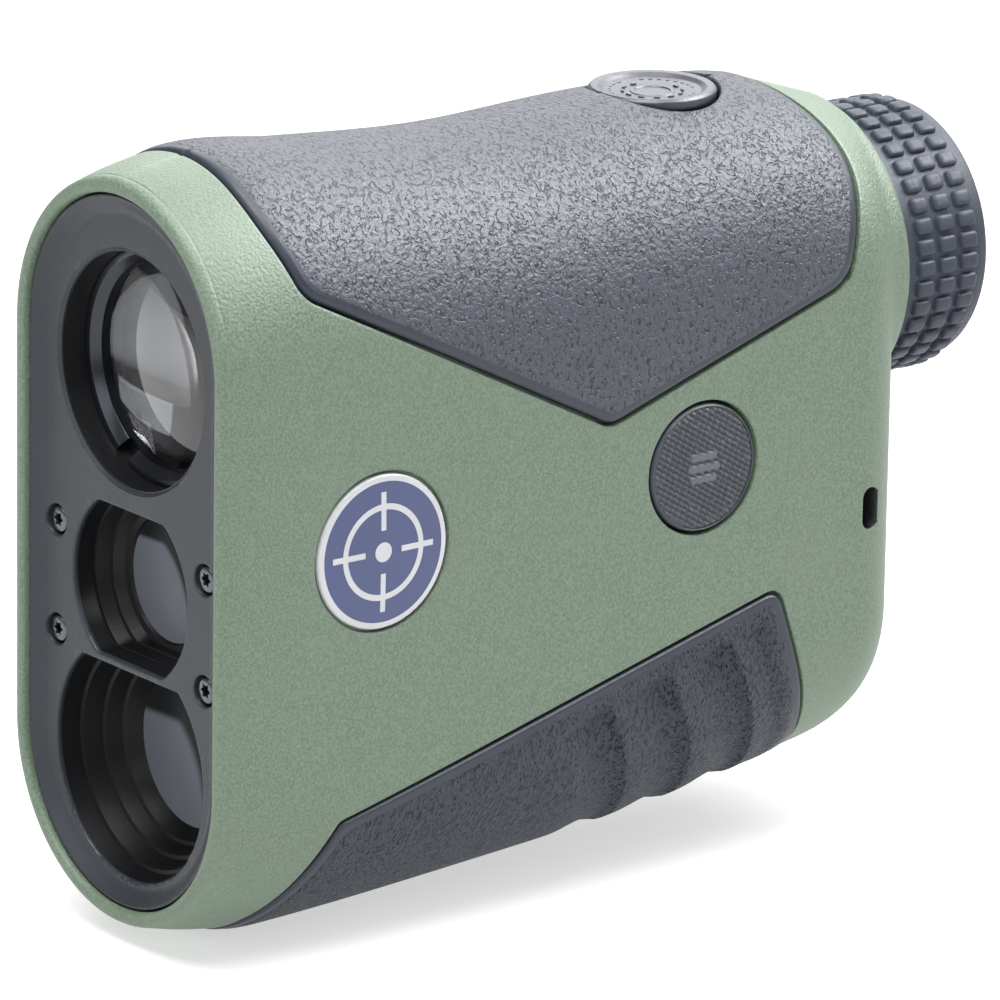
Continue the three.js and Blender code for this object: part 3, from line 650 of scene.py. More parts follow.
# Corners as (y, z, rounding), seen from the right.
TOP_ARMOUR = [(6.1, 40, 0), (6.1, 17, 14), (8.6, 9.9, 4), (45.8, -9.0, 3), (76.2, 1.0, 5),
              (81.2, 15.0, 9), (71.0, 24.0, 0), (71.0, 40, 0)]
LOWER_ARMOUR = [(6.3, -75, 0), (75, -75, 0), (74.6, -47.5, 6), (70.6, -37.5, 12), (67.9, -29.6, 2),
                (13.0, -44.0, 1), (6.4, -55.5, 5)]
TOP_BUTTON = optical("measure_button")
MODE_BUTTON = optical("mode_button")
BADGE = optical("badge")
POCKET = -1.3  # depth of the armour's beds in the case
GAP = 0.14
BUTTON_HOLE_R, BUTTON_CUT_R = 7.9, 6.85  # round the top button, in the case and in the armour
MODE_HOLE_R = 6.95
BADGE_BED_R, BADGE_BED = 8.15, -0.62
BOSS_RINGS = (14.4, 14.9, 15.2, 15.5, 15.75, 15.9, 16.05, 16.3, 16.7, 17.2)  # where the boss is meshed finely


def grown(corners, grow):
    """The outline with each side moved out by grow."""
    pts = np.array([c[:2] for c in corners], float)
    after = np.roll(pts, -1, 0)
    d = after - pts
    normal = columns(d[:, 1], -d[:, 0]) / np.hypot(*d.T)[:, None]
    offset = (normal * pts).sum(1) + grow
    out = []
    for i, corner in enumerate(corners):
        pair = np.array([normal[i - 1], normal[i]])
        out.append((*np.linalg.solve(pair, [offset[i - 1], offset[i]]), corner[2]))
    return out


def softened(corners):
    """The outline with quadratic corners, as dense points."""
    pts = [np.array(c[:2], float) for c in corners]
    out = []
    for i, p in enumerate(pts):
        a, b = pts[i - 1] - p, pts[(i + 1) % len(pts)] - p
        a, b = a / np.hypot(*a), b / np.hypot(*b)
        half = math.acos(np.clip(a @ b, -1, 1)) / 2
        reach = corners[i][2] / math.tan(half)
        t = np.linspace(0, 1, 40)[:, None]
        out.append((1 - t) ** 2 * (p + a * reach) + 2 * t * (1 - t) * p + t * t * (p + b * reach))
    return resample(closed(np.concatenate(out)), 0.08)


def on_skin(corners, grow, top):
    """The part of an armour outline that lies on the right side, as a line in (m, q)."""
    line = softened(grown(corners, grow))[:-1]
    y, z = line.T
    on = (z < top_line(y)) if top else (z > bottom_line(y) + LOW_FILLET * (y > ROUND_START + 3))
    start = np.flatnonzero(on & ~np.roll(on, 1))[0]
    line, on = np.roll(line, -start, 0), np.roll(on, -start)
    line = line[: np.flatnonzero(~on)[0]]
    mq = side_mq(line)
    edge = 0.0 if top else FULL
    ends = [np.array([[mq[k, 0], edge]]) for k in (0, -1)]
    return resample(np.concatenate([ends[0], mq, ends[1]]), 0.45)


def closed_beyond(line, top):
    """The line closed outside the sheet, as a polygon."""
    q = -5.0 if top else FULL + 5.0
    return np.concatenate([line, [[line[-1, 0], q], [line[0, 0], q]]])


def button_arc(r):
    """The right half of a circle round the top button, in (m, q)."""
    xy = circle(0, TOP_BUTTON[1], r, 40, -PI / 2, PI)
    return columns(xy[:, 1], HALF * np.arcsin(np.clip(xy[:, 0] / HALF, -1, 1)))


def grid(m0, m1, q0, q1, step):
    """Points over a block of the sheet, evenly spread over the real surface."""
    rows = []
    for m in np.linspace(m0, m1, int(round((m1 - m0) / step)) + 1):
        _, r, _, _, inset, _ = spine(np.array([m]))
        arc_step = step * HALF / max(float((r - inset)[0]), step)
        marks = [0.0, ARC, ARC + SIDE, FULL]
        for a, b, s in zip(marks, marks[1:], (arc_step, step, arc_step)):
            n = max(1, int(round((b - a) / s)))
            q = a + (b - a) * (np.arange(n + 1) if b == FULL else np.arange(n)) / n
            rows.append(columns(np.full(q.shape, m), q))
    points = np.concatenate(rows)
    keep = (points[:, 1] >= q0 - 1e-9) & (points[:, 1] <= q1 + 1e-9)
    return points[keep]


def spaced(points, lines, clear):
    """The points that keep clear of the lines."""
    return points[distance(points, lines) > clear]


def edge_drop(d, radius):
    """How far a rounded edge falls at distance d inside it."""
    u = np.clip(1 - d / radius, 0, 1)
    return radius * (1 - np.sqrt(1 - u * u))


STRAP = {"y": 79.9, "z": -23.3, "w": 2.1, "h": 4.4, "x": 13.0}


def strap_end(across, to_mq):
    """One end of the strap slot, as a line in (m, q)."""
    a, z, w, h = (STRAP[k] for k in across + "zwh")
    box = [(a + i * w / 2, z + k * h / 2, 1.0) for i, k in ((-1, -1), (1, -1), (1, 1), (-1, 1))]
    return to_mq(resample(closed(rounded(box)), 0.3))


def case_sheet(right):
    """The flat mesh of one half of the case, with the region of each triangle."""
    upper = on_skin(TOP_ARMOUR, GAP, True)
    lower = on_skin(LOWER_ARMOUR, GAP, False)
    bore = rear_mq(circle(0, EYE_Z, BORE_R, 60, -PI / 2, PI))
    cap = rear_mq(circle(0, CAP_Z, CAP_HOLE_R, 50, -PI / 2, PI))
    button = button_arc(BUTTON_HOLE_R)
    pockets, holes = [upper, lower], [bore, cap, button]
    if right:
        mode = side_mq(circle(*MODE_BUTTON[1:], MODE_HOLE_R, 96))
        badge = side_mq(circle(*BADGE[1:], BADGE_BED_R, 110))
        holes += [mode, strap_end("y", side_mq), strap_end("x", rear_mq)]
        pockets.append(badge)
    lines = pockets + holes
    boss = [rear_mq(circle(0, EYE_Z, r, 80, -PI / 2, PI)) for r in BOSS_RINGS]
    boss = [line[line[:, 1] > 0.05] for line in boss]
    base = spaced(grid(CASE_M, LAST_M, 0, FULL, 1.15), lines + boss, 0.5)
    rim = grid(CASE_M, CASE_M + 0.45, 0, FULL, 0.15)
    near = beside(lines, (0.08, 0.2, 0.42, 0.85))
    near = near[(near[:, 1] > 0.1) & (near[:, 1] < FULL - 0.1) & (near[:, 0] < LAST_M - 0.1)]
    extra = spaced(np.concatenate(boss), lines, 0.3)
    flat, tris = triangulate(np.concatenate([base, rim, near, extra]), lines)
    middle = flat[tris].mean(1)
    spot = skin(middle)
    rear = middle[:, 0] > ROUND_START
    gone = rear & (np.hypot(spot[:, 0], spot[:, 2] - EYE_Z) < BORE_R)
    gone |= (middle[:, 0] > FACE_M) & (np.hypot(spot[:, 0], spot[:, 2] - CAP_Z) < CAP_HOLE_R)
    gone |= inside(middle, closed_beyond(button, True))
    for hole in holes[3:]:
        gone |= inside(middle, hole)
    tris, middle = tris[~gone], middle[~gone]
    regions = np.zeros(len(tris), int)
    regions[inside(middle, closed_beyond(upper, True))] = 1
    regions[inside(middle, closed_beyond(lower, False))] = 1
    if right:
        regions[inside(middle, badge)] = 2
    return flat, tris, regions, lines


def case_half(right):
    flat, tris, regions, lines = case_sheet(right)
    front = [np.array([[CASE_M, -1.0], [CASE_M, FULL + 1.0]])]
    # the openings' edges and the front edge are rounded
    drop = np.maximum(edge_drop(distance(flat, lines), 0.22), edge_drop(distance(flat, front), 0.1))
    tops = {0: with_boss(skin(flat, -drop)), 1: skin(flat, POCKET)}
    if right:
        tops[2] = skin(flat, BADGE_BED)
    bottom = skin(flat, -np.interp(flat[:, 0], [2.0, 3.5], [0.75, WALL]))
    verts, faces = thicken(flat, tris, tops, bottom, regions)
    by_face = np.zeros(len(faces), int)
    if right:
        # painted shade: the strap slot's walls take the black material, a dark surface where the slot is only
        # in shade
        spots = np.array([np.mean(verts[face], axis=0) for face in faces])
        level = abs(spots[:, 2] - STRAP["z"]) < STRAP["h"] / 2 + 0.1
        side_end = (abs(spots[:, 1] - STRAP["y"]) < STRAP["w"] / 2 + 0.05) & (spots[:, 0] < HALF - 0.3)
        rear_end = (abs(spots[:, 0] - STRAP["x"]) < STRAP["w"] / 2 + 0.05) & (spots[:, 1] < REAR_Y - 0.3)
        by_face[level & (spots[:, 0] > 11.5) & (side_end | rear_end & (spots[:, 1] > STRAP["y"]))] = 1
    side = "right" if right else "left"
    if not right:
        verts = verts * [-1, 1, 1]
        faces = [face[::-1] for face in faces]
    return piece(f"case_{side}_shell", verts, faces, [green, black], [f"case_{side}"], "green_shell",
                 by_face=by_face)


def armour_piece(name, corners, top, look, node, height, hole=None, step=0.9):
    outline = on_skin(corners, -GAP, top)
    lines = [outline] + ([hole] if hole is not None else [])
    m0, m1 = outline[:, 0].min(), outline[:, 0].max()
    base = spaced(grid(m0, m1, 0, FULL, step), lines, 0.4)
    near = beside(lines, (0.06, 0.16, 0.3, 0.5, 0.8, 1.15, 1.5))
    near = near[(near[:, 1] > 0.1) & (near[:, 1] < FULL - 0.1)]
    flat, tris = triangulate(np.concatenate([base, near]), lines)
    middle = flat[tris].mean(1)
    keep = inside(middle, closed_beyond(outline, top))
    if hole is not None:
        keep &= ~inside(middle, closed_beyond(hole, True))
    tris, middle = tris[keep], middle[keep]
    d = distance(flat, [outline])
    h = height(flat, d)
    if hole is not None:
        h = h - edge_drop(distance(flat, [hole]), 0.3)
    seam = 0.0 if top else FULL
    verts, faces = thicken(flat, tris, {0: skin(flat, h)}, skin(flat, POCKET + 0.2),
                           open_edge=lambda a, b: abs(a[1] - seam) < 1e-6 and abs(b[1] - seam) < 1e-6)
    by_face = face_looks(distance(middle, [outline]) < BORDER, faces)
    verts, faces = mirrored(verts, faces)
    return piece(name, verts, faces, [look, armour_edge], [node], "grey_rubber", by_face=np.tile(by_face, 2))


PROUD = 0.24  # height of the armour over the case
BORDER, BORDER_LOW = 1.1, 0.07  # its plain border, and how much lower that is
RIDGES = 8.6  # spacing of the finger grooves


def padded(d, radius):
    """Height at distance d inside the outline: an edge of that radius, the border, the field."""
    band = np.clip((d - 1.2) / 0.3, 0, 1)
    return PROUD - BORDER_LOW + BORDER_LOW * band - edge_drop(d, radius)


def top_height(_, d):
    return padded(d, 0.8)


def low_height(flat, d):
    """The lower armour, with scooped finger grooves between sharp ridges."""
    point = skin(flat)
    along = point[:, 1] - 0.45 * (-40.2 - point[:, 2])
    t = (along - 47.0) / RIDGES
    u = np.mod(t, 1.0)
    scoop = 1.0 * u**2.2 * (1 - u) ** 0.55 / 0.27
    reach = np.clip((t + 1.0) / 0.4, 0, 1) * np.clip((3.0 - t) / 0.4, 0, 1)
    deep = np.clip((d - 2.2) / 1.6, 0, 1) * np.interp(np.abs(point[:, 0]), [2.0, 6.0, 16.0], [0, 0.45, 1])
    smooth = deep * deep * (3 - 2 * deep)
    return padded(d, 0.4) - scoop * reach * smooth


def front_rim():
    """The green lip round the front face."""
    profile_y = [1.4, -1.15, -1.45, -1.62, -1.7, -1.7, -1.62, -1.42, -1.12, -0.92, -0.8, -0.7, -0.62, 1.4]
    inner = [15.8, 15.8, 15.87, 16.02, 16.25, 16.5]
    outer = [0.34, 0.12, 0.02, 0.0, 0.0, 0.02, 0.03, 0.8]  # inset from the body's surface
    q = np.concatenate([np.linspace(0, ARC, 46)[:-1], np.linspace(ARC, ARC + SIDE, 24)[:-1],
                        np.linspace(ARC + SIDE, FULL, 46)])
    lip_r = float(spine(np.array([FRONT_Y]))[1][0])
    rings = []
    for k, y in enumerate(profile_y):
        if k < len(inner):
            half = skin(columns(np.full(q.shape, FRONT_Y), q), inner[k] - lip_r)
            half[:, 1] = y
        else:
            half = skin(columns(np.full(q.shape, y), q), -outer[k - len(inner)])
        rings.append(np.concatenate([half, half[-2:0:-1] * [-1, 1, 1]]))
    verts, faces = loft(rings)
    return piece("front_lip", verts, faces, green, ["front_rim"], "green_shell", crease=50)


# ---- Front face ----

FACE_TOP_Z, FACE_LOW_Z = 2.2, -39.0
EMITTER_Z, RECEIVER_Z = -22.05, -39.9


def stadium(r):
    """The outline of the front face, r from its middle line."""
    upper = circle(0, FACE_TOP_Z, r, 60, 0, PI)
    lower = circle(0, FACE_LOW_Z, r, 60, PI, PI)
    return resample(closed(np.concatenate([upper, lower])), 0.6)


UNCUT = 20  # beyond every radius: no flat


def flatted(z, r, low, high, n=96):
    """A circle whose bottom and top are cut flat at low and high from its middle."""
    line = circle(0, 0, r, n)
    return columns(line[:, 0], np.clip(line[:, 1], -low, high) + z)


SCREWS = [(side * 12.35, z) for z in (-18.0, -29.3) for side in (-1, 1)]


def bezel():
    outline = stadium(15.5)
    objective = circle(0, 0, 12.0, 120)
    emitter = flatted(EMITTER_Z, 9.5, 7.8, 7.8)
    receiver = flatted(RECEIVER_Z, 12.2, UNCUT, 9.2)
    wells = [circle(x, z, 1.6, 28) for x, z in SCREWS]
    lines = [outline, objective, emitter, receiver, *wells]
    base = spaced(lattice(np.arange(-15.2, 15.3, 0.8), np.arange(-54.4, 17.6, 0.8)), lines, 0.35)
    near = beside(lines, (0.05, 0.12, 0.22, 0.32, 0.5, 0.85, 1.2))
    border = np.concatenate([stadium(r) for r in (14.9, 14.4, 14.0, 13.75, 13.5, 13.2)])
    border = spaced(border, lines, 0.3)
    flat, tris, _ = filled(lines, np.concatenate([base, near, border]), lines[1:])
    x, z = flat.T
    out = np.hypot(x, z - np.clip(z, FACE_LOW_Z, FACE_TOP_Z))
    y = -1.2 * np.clip((out - 13.6) / 1.9, 0, 1) ** 1.15  # the border rises to the rim
    y += edge_drop(distance(flat, [outline]), 0.35)
    rho = np.hypot(x, z)
    y += np.clip(12.32 - rho, 0, 0.32) * (rho < 13)  # a chamfer round the objective
    y += edge_drop(distance(flat, [emitter]), 0.28) + edge_drop(distance(flat, [receiver]), 0.28)
    y += edge_drop(distance(flat, wells), 0.2)
    front = columns(x, y, z)
    back = columns(x, np.full(x.shape, 1.8), z)
    verts, faces = thicken(flat, tris, {0: front}, back)
    piece("bezel_plate", verts, faces, charcoal, ["front_bezel"], "charcoal_shell", crease=32)


def star(r, lobe):
    """A circle with six lobes."""
    t = np.linspace(0, 2 * PI, 48, endpoint=False)
    reach = r + lobe * np.cos(6 * t)
    return columns(reach * np.cos(t), reach * np.sin(t))


def drive_screw(node, at, r_head, top, depth, shank, axis="Y"):
    """A screw whose head, with a six-lobed drive, starts at top along its axis."""
    # radius and lobe as shares of the head's radius, and distance from the top
    profile = [(0.40, 0.07, depth), (0.42, 0.08, 0.12), (0.47, 0.08, 0), (0.8, 0, 0.02), (0.94, 0, 0.12),
               (1, 0, 0.32), (1, 0, 0.62), (0.6, 0, 1.1), (0.6, 0, shank)]
    tip = star(0.02, 0)
    rings = [(tip, depth), *((star(r_head * r, r_head * lobe), d) for r, lobe, d in profile), (tip, shank)]
    out = []
    for line, d in rings:
        u, v = line.T
        w = np.full(len(u), top + d)
        out.append(columns(u + at[0], w, v + at[2]) if axis == "Y" else columns(w, u + at[1], v + at[2]))
    verts, faces = loft(out, joined=False)
    n = len(tip)
    faces += [list(range(n)), list(range(len(verts) - n, len(verts)))]
    piece(node + "_head", verts, faces, screw_metal, [node], "black_metal", crease=40)


def screws():
    for k, (x, z) in enumerate(SCREWS):
        drive_screw(f"bezel_screw_{k + 1}", (x, 0, z), 1.35, 0.2, 0.75, 6.5)
    for k in range(4):
        node = f"case_screw_{k + 1}"
        lo, hi = (np.array(c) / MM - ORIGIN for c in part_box(node))
        drive_screw(node, (lo + hi) / 2, 1.8, lo[0], 0.8, hi[0] - lo[0], "X")


def turned_piece(name, at, look, nodes, slot, profile, body="housing", axis="Y", segments=96):
    verts, faces = lathe(rounded(profile), at, axis, segments)
    piece(name, verts, faces, look, nodes, slot, body)


def bowl(r, edge, bulge):
    """Half profile of a lens face from its rim to the axis."""
    return [(r * k, edge + bulge * (1 - k * k)) for k in np.linspace(1, 0, 10)]


def glass(r, front, back, front_bulge, back_bulge, z=0):
    """Points and faces of a lens between two bulging faces, on the axis at height z."""
    return lathe(bowl(r, front, -front_bulge) + bowl(r, back, back_bulge)[::-1], (0, 0, z))


def lens(name, node, solid, look, body="housing"):
    return piece(name, *solid, look, [node], "coated_glass", body, 30)


SLOT_ANGLE, SLOT_HALF = math.radians(62), 0.085  # the two spanner slots, in radians


def slotted(profile, angle):
    """The retaining ring's profile where its two spanner slots are cut."""
    away = abs((angle - SLOT_ANGLE + PI / 2) % PI - PI / 2)
    if away < SLOT_HALF:
        profile[:, 1] = np.maximum(profile[:, 1], 4.35)
    return profile


WINDOWS = []  # the two laser windows, which have a light of their own


def optics():
    turned_piece("objective_barrel", (0, 0, 0), black, ["objective_tube"], "black_plastic",
                 [(11.88, 0.4), (11.98, 0.4), (11.98, 2.1), (13.0, 2.1), (13.0, 9, .3), (12.4, 10),
                  (12.4, 38), (8.5, 38), (10.6, 12), (10.6, 10.4), (11.88, 10.4)])
    ring = rounded([(10.35, 3.95, .12), (11.2, 3.15, .15), (11.85, 3.0, .12), (11.9, 5.0), (10.35, 5.0)])
    base = np.linspace(0, 2 * PI, 120, endpoint=False)
    marks = [SLOT_ANGLE + k * PI + s * (SLOT_HALF + e)
             for k in (0, 1) for s in (-1, 1) for e in (-0.002, 0.002)]
    angles = np.sort(np.concatenate([base, np.mod(marks, 2 * PI)]))
    verts, faces = lathe(ring, (0, 0, 0), "Y", angles, slotted)
    piece("retaining_ring", verts, faces, dark_metal, ["objective_retaining_ring"], "black_metal", crease=30)
    first, second = glass(11.3, 5.3, 6.4, 2.1, 0.5), glass(11.3, 6.5, 9.6, -2.8, 0.6)
    verts, faces = merged(first, second)
    by_face = [0] * len(first[1]) + [1] * len(second[1])
    piece("objective_doublet", verts, faces, [objective_glass, objective_coating], ["objective_lens"],
          "coated_glass", crease=30, by_face=by_face)
    WINDOWS.extend([
        lens("emitter_window", "emitter_lens", glass(6.3, 5.0, 7.2, 0.4, 0.9, EMITTER_Z), window_glass),
        lens("receiver_window", "receiver_lens", glass(8.1, 7.6, 10.4, 0.5, 1.0, RECEIVER_Z), window_glass)])
    baffle("emitter_throat", "emitter_baffle", EMITTER_Z,
           [(9.42, 7.72, 0.5), (9.2, 7.5, 2.2), (8.9, 7.4, 2.25), (8.3, 7.2, 3.6), (7.9, 7.0, 3.65),
            (7.2, 6.9, 4.6), (6.5, 6.7, 4.7), (6.2, 6.6, 5.2)],
           9.9, 8.0, 8.0, 20)
    baffle("receiver_throat", "receiver_baffle", RECEIVER_Z,
           [(12.12, 9.12, 0.5), (11.7, 8.9, 2.4), (11.3, 8.8, 2.5), (10.6, 8.7, 4.4), (10.2, 8.6, 4.5),
            (9.5, 8.6, 6.0), (9.1, 8.6, 6.1), (8.4, 8.6, 7.2), (8.05, 8.6, 7.75)],
           12.7, UNCUT, 9.45, 24)
    turned_piece("eyepiece_tube", (0, 0, EYE_Z), black, ["eyepiece_barrel"], "black_plastic",
                 [(11.3, 71), (13.4, 71), (13.4, 82), (12.2, 82), (12.2, 93, .2), (11.3, 93, .2)])


def baffle(name, node, z, steps, outer, low, high, back):
    """A stepped throat: (radius, half height of its flats, y) from the front inward."""
    def ring(r, flat, y, bottom=None):
        line = flatted(z, r, (low if low == UNCUT else flat) if bottom is None else bottom, flat, 128)[:-1]
        return columns(line[:, 0], np.full(len(line), y), line[:, 1])
    mouth, mouth_flat, mouth_y = steps[0]
    throat, throat_flat, throat_y = steps[-1]
    rings = [ring(*step) for step in steps]
    rings += [ring(throat + 1.2, throat_flat, throat_y + 0.05), ring(throat + 1.0, throat_flat, back)]
    rings += [ring(outer, high, back, low), ring(outer, high, 2.1, low)]
    rings += [ring(mouth + 0.03, mouth_flat + 0.03, y) for y in (2.1, mouth_y)]
    verts, faces = loft(rings)
    piece(name, verts, faces, flocked, [node], "black_plastic", crease=30)


# ---- Eyepiece ----

STUDS, STUD_ROWS = 40, (89.75, 92.6, 95.45)


def stud(w, l, low, high):
    """A small pillow block: (across, along, height) points and faces."""
    rings = []
    for cut, h in ((-0.06, low), (0.0, high - 0.3), (0.07, high - 0.1), (0.22, high), (0.5, high + 0.02)):
        a, b = w / 2 - cut, l / 2 - cut
        line = rounded([(-a, -b, .3), (a, -b, .3), (a, b, .3), (-a, b, .3)], 2)
        rings.append(np.column_stack([line, np.full(len(line), h)]))
    verts, faces = loft(rings, joined=False)
    return verts, faces + [list(range(len(verts) - len(line), len(verts))), list(range(len(line)))[::-1]]


def grip_sleeve():
    base = rounded([(13.2, 86.7), (13.6, 86.7, .2), (13.72, 87.3, .2), (13.72, 97.0, 1), (13.55, 98.25, .9),
                    (12.6, 98.35, .2), (12.6, 97.3), (13.2, 97.3)])
    parts = [lathe(base, (0, 0, EYE_Z), "Y", 144)]
    verts, faces = stud(1.62, 2.05, 13.6, 14.28)
    across, along, r = verts.T
    for y in STUD_ROWS:
        for k in range(STUDS):
            angle = 2 * PI * k / STUDS + across / 14.0
            parts.append((columns(r * np.sin(angle), y + along, EYE_Z + r * np.cos(angle)), faces))
    verts, faces = merged(*parts)
    piece("grip_sleeve", verts, faces, grip, ["ring_grip"], "black_rubber", "diopter_ring", 45)


def eyepiece():
    axis = (0, 0, EYE_Z)
    grip_sleeve()
    turned_piece("eyecup_lip", axis, grip, ["eyecup"], "black_rubber",
                 [(10.9, 97.3, .2), (12.58, 97.3), (12.58, 98.2, .2), (11.7, 98.5, .4), (10.9, 98.1, .3)],
                 "diopter_ring", segments=144)
    turned_piece("diopter_core", axis, black, ["diopter_ring"], "black_plastic",
                 [(12.5, 86.7), (12.9, 86.7), (12.9, 97.2), (10.6, 97.2, .2), (10.6, 93.3), (12.5, 93.3)],
                 "diopter_ring")
    turned_piece("cell_ring", axis, dark_metal, ["cell_retainer"], "black_metal",
                 [(8.6, 90.2, .15), (9.6, 90.2), (9.6, 91.3), (8.9, 91.3, .15)], "lens_carrier")
    turned_piece("sliding_cell", axis, black, ["lens_cell"], "black_metal",
                 [(8.1, 75), (11.0, 75, .2), (11.0, 91.5, .3), (9.9, 91.5, .1), (9.9, 85), (8.4, 85),
                  (8.4, 80), (9.6, 80), (9.6, 76.2), (8.1, 76.2)], "lens_carrier")
    lens("eye_side_lens", "eye_lens", glass(9.5, 86.6, 88.4, 1.2, 1.4, EYE_Z), eye_glass, "lens_carrier")


# ---- Controls ----

def measure_button():
    """The top button: a dished disc with a thick rolled rim and a ring of small raised dashes."""
    x, y, _ = TOP_BUTTON
    under, top = 17.3, 19.6
    profile = [(0, 14.6), (3.3, 14.6, .1), (3.3, 15.5), (2.4, 15.5), (2.4, under), (5.7, under, .3),
               (6.5, under + 1.1, .8), (6.55, top - 0.35, .3), (6.2, top, .25), (5.5, top - 0.12, .4),
               (5.0, top - 0.5, .4), (3.2, top - 0.7, 2), (2.3, top - 0.72), (2.2, top - 0.62, .05),
               (1.9, top - 0.62, .05), (1.8, top - 0.74), (0, top - 0.75)]
    parts = [lathe(rounded(profile), (x, y, 0), "Z", 120)]
    for r, count, w in ((4.35, 30, 0.42), (3.05, 12, 0.6)):
        for k in range(count):
            if k % 10 in (4, 5):  # gaps
                continue
            a = 2 * PI * k / count
            block = []
            for h, size in ((-0.76, 1.0), (-0.57, 1.0), (-0.53, 0.9)):
                u, v = np.array([-w, w, w, -w]) / 2 * size, np.array([-.14, -.14, .14, .14]) * size
                block.append(columns(x + (r + v) * np.cos(a) - u * np.sin(a),
                                     y + (r + v) * np.sin(a) + u * np.cos(a), np.full(4, top + h)))
            verts, faces = loft(block, joined=False)
            parts.append((verts, faces + [[8, 9, 10, 11], [3, 2, 1, 0]]))
    verts, faces = merged(*parts)
    piece("measure_button_cap", verts, faces, button_rubber, ["measure_button"], "grey_rubber",
          "measure_button", 40)
    turned_piece("button_seat", (x, y, 0), black, [], "black_plastic",
                 [(2.8, 15.0), (8.4, 15.0), (8.4, 16.35), (2.8, 16.35, .1)], axis="Z")


def mode_button():
    """The side button: a bevelled rim round a knurled face with three smooth bars."""
    _, y0, z0 = MODE_BUTTON
    r, field, face = 6.6, 6.25, 18.0
    rim = circle(0, 0, field + 0.03, 110)  # just inside the wall, so that the two solids share no edge
    row = np.arange(-field, field, 0.13)
    pts = lattice(row, row)
    flat, tris = triangulate(pts[np.hypot(*pts.T) < field - 0.07], [rim])
    u, v = flat.T
    twill = 0.5 + 0.5 * np.cos(2 * PI * (u * 0.62 + v) / 0.62)
    cross = 0.5 + 0.5 * np.cos(2 * PI * (u - v * 0.35) / 0.85)
    bumps = (0.35 + 0.65 * cross) * twill
    bars = np.zeros(len(u))
    for k in (-1, 0, 1):
        across = np.clip((2.1 - 0.35 * abs(k) - np.abs(u)) / 0.16, 0, 1)
        bars = np.maximum(bars, across * np.clip((0.44 - np.abs(v - 1.15 * k)) / 0.16, 0, 1))
    fade = np.clip((field - np.hypot(u, v)) / 0.2, 0, 1)
    x = face - 0.36 + 0.34 * bumps * (1 - bars) * fade + 0.26 * bars
    front = columns(x, y0 + u, z0 + v)
    back = columns(np.full(len(u), face - 0.8), y0 + u, z0 + v)
    disc = thicken(flat, tris, {0: front}, back)
    edge = lathe(rounded([(0, 13.7), (7.9, 13.7), (7.9, 14.4), (r, 14.4), (r, face - 0.5, .2),
                          (field + 0.1, face - 0.12, .1), (field, face - 0.36), (field, face - 0.6),
                          (0, face - 0.6)]), (0, y0, z0), "X", 110)
    verts, faces = merged(edge, disc)
    piece("mode_button_cap", verts, faces, knurl, ["mode_button"], "charcoal_shell", "mode_button", 60)


def badge():
    """A domed disc: white rim, blue field, and a plain white sighting mark."""
    _, y0, z0 = BADGE
    low, top, r = 17.3, 17.95, 7.85
    border, ring_out, ring_in, dot = 7.15, 4.9, 4.3, 1.0
    lines = [circle(0, 0, k, 110) for k in (r, border, ring_out, ring_in, dot)]
    bars = []
    for k in range(4):
        c, s = round(math.cos(k * PI / 2)), round(math.sin(k * PI / 2))
        u, v = np.array([(2.2, -.3), (6.1, -.3), (6.1, .3), (2.2, .3), (2.2, -.3)]).T
        bars.append(columns(u * c - v * s, u * s + v * c))
    lines += [resample(b, 0.3) for b in bars]
    row = np.arange(-7.6, 7.7, 0.5)
    pts = spaced(lattice(row, row), lines, 0.15)
    pts = pts[np.hypot(*pts.T) < r - 0.05]
    pts = np.concatenate([pts, beside(lines[:1], (0.08, 0.18, 0.3))])
    flat, tris, middle = filled(lines, pts[np.hypot(*pts.T) < r])
    rho = np.hypot(*flat.T)
    outer = top - edge_drop(r - rho, 0.3) - 0.12 * (rho / r) ** 2
    front, back = (columns(x, y0 + flat[:, 0], z0 + flat[:, 1]) for x in (outer, np.full(len(flat), low)))
    verts, faces = thicken(flat, tris, {0: front}, back)
    mid = np.hypot(*middle.T)
    white = (mid > border) | ((mid > ring_in) & (mid < ring_out)) | (mid < dot)
    for bar in bars:
        white |= inside(middle, bar)
    piece("badge_disc", verts, faces, [badge_blue, badge_white], ["badge"], "badge_blue",
          by_face=face_looks(white, faces), crease=45)


def battery_cap():
    """The screw cap: a knurled edge and a coin slot."""
    def ribbed(profile, angle):
        out = profile.copy()
        rib = 0.12 * (0.5 + 0.5 * math.cos(angle * 60))
        out[:, 0] -= rib * (profile[:, 0] > 10.0) * (profile[:, 1] > 85.9)
        return out
    face_r, face_y, slot_y = 8.6, 87.35, 86.5
    profile = rounded([(3.4, 81.4), (7.6, 81.4, .2), (7.6, 85.8), (10.4, 85.8, .15), (10.4, 87.2, .35),
                       (9.6, 87.5, .3), (face_r, face_y, .4), (face_r, 86.2), (0.0, 86.2), (0.0, 82.2),
                       (3.4, 82.2)])
    edge = lathe(profile, (0, 0, CAP_Z), "Y", 240, ribbed)
    rim = circle(0, 0, face_r, 160)
    slots = []
    for half, high in ((6.0, 0.8), (5.93, 0.72)):
        corners = np.array([(-half, -high), (half, -high), (half, high), (-half, high)])
        slots.append(resample(closed(corners), 0.3))
    row = np.arange(-8.5, 8.6, 0.7)
    pts = spaced(lattice(row, row), [rim, *slots], 0.2)
    flat, tris, _ = filled([rim, *slots], pts[np.hypot(*pts.T) < face_r - 0.1])
    sunk = inside(flat, slots[0] * 0.999) & (distance(flat, [slots[0]]) > 0.04)
    u, v = flat.T
    front = columns(u, np.where(sunk, slot_y, face_y), CAP_Z + v)
    back = columns(u, np.full(len(u), 86.0), CAP_Z + v)
    disc = thicken(flat, tris, {0: front}, back)
    verts, faces = merged(edge, disc)
    piece("cap_knob", verts, faces, charcoal, ["battery_cap"], "charcoal_shell", "battery_cap", 35)


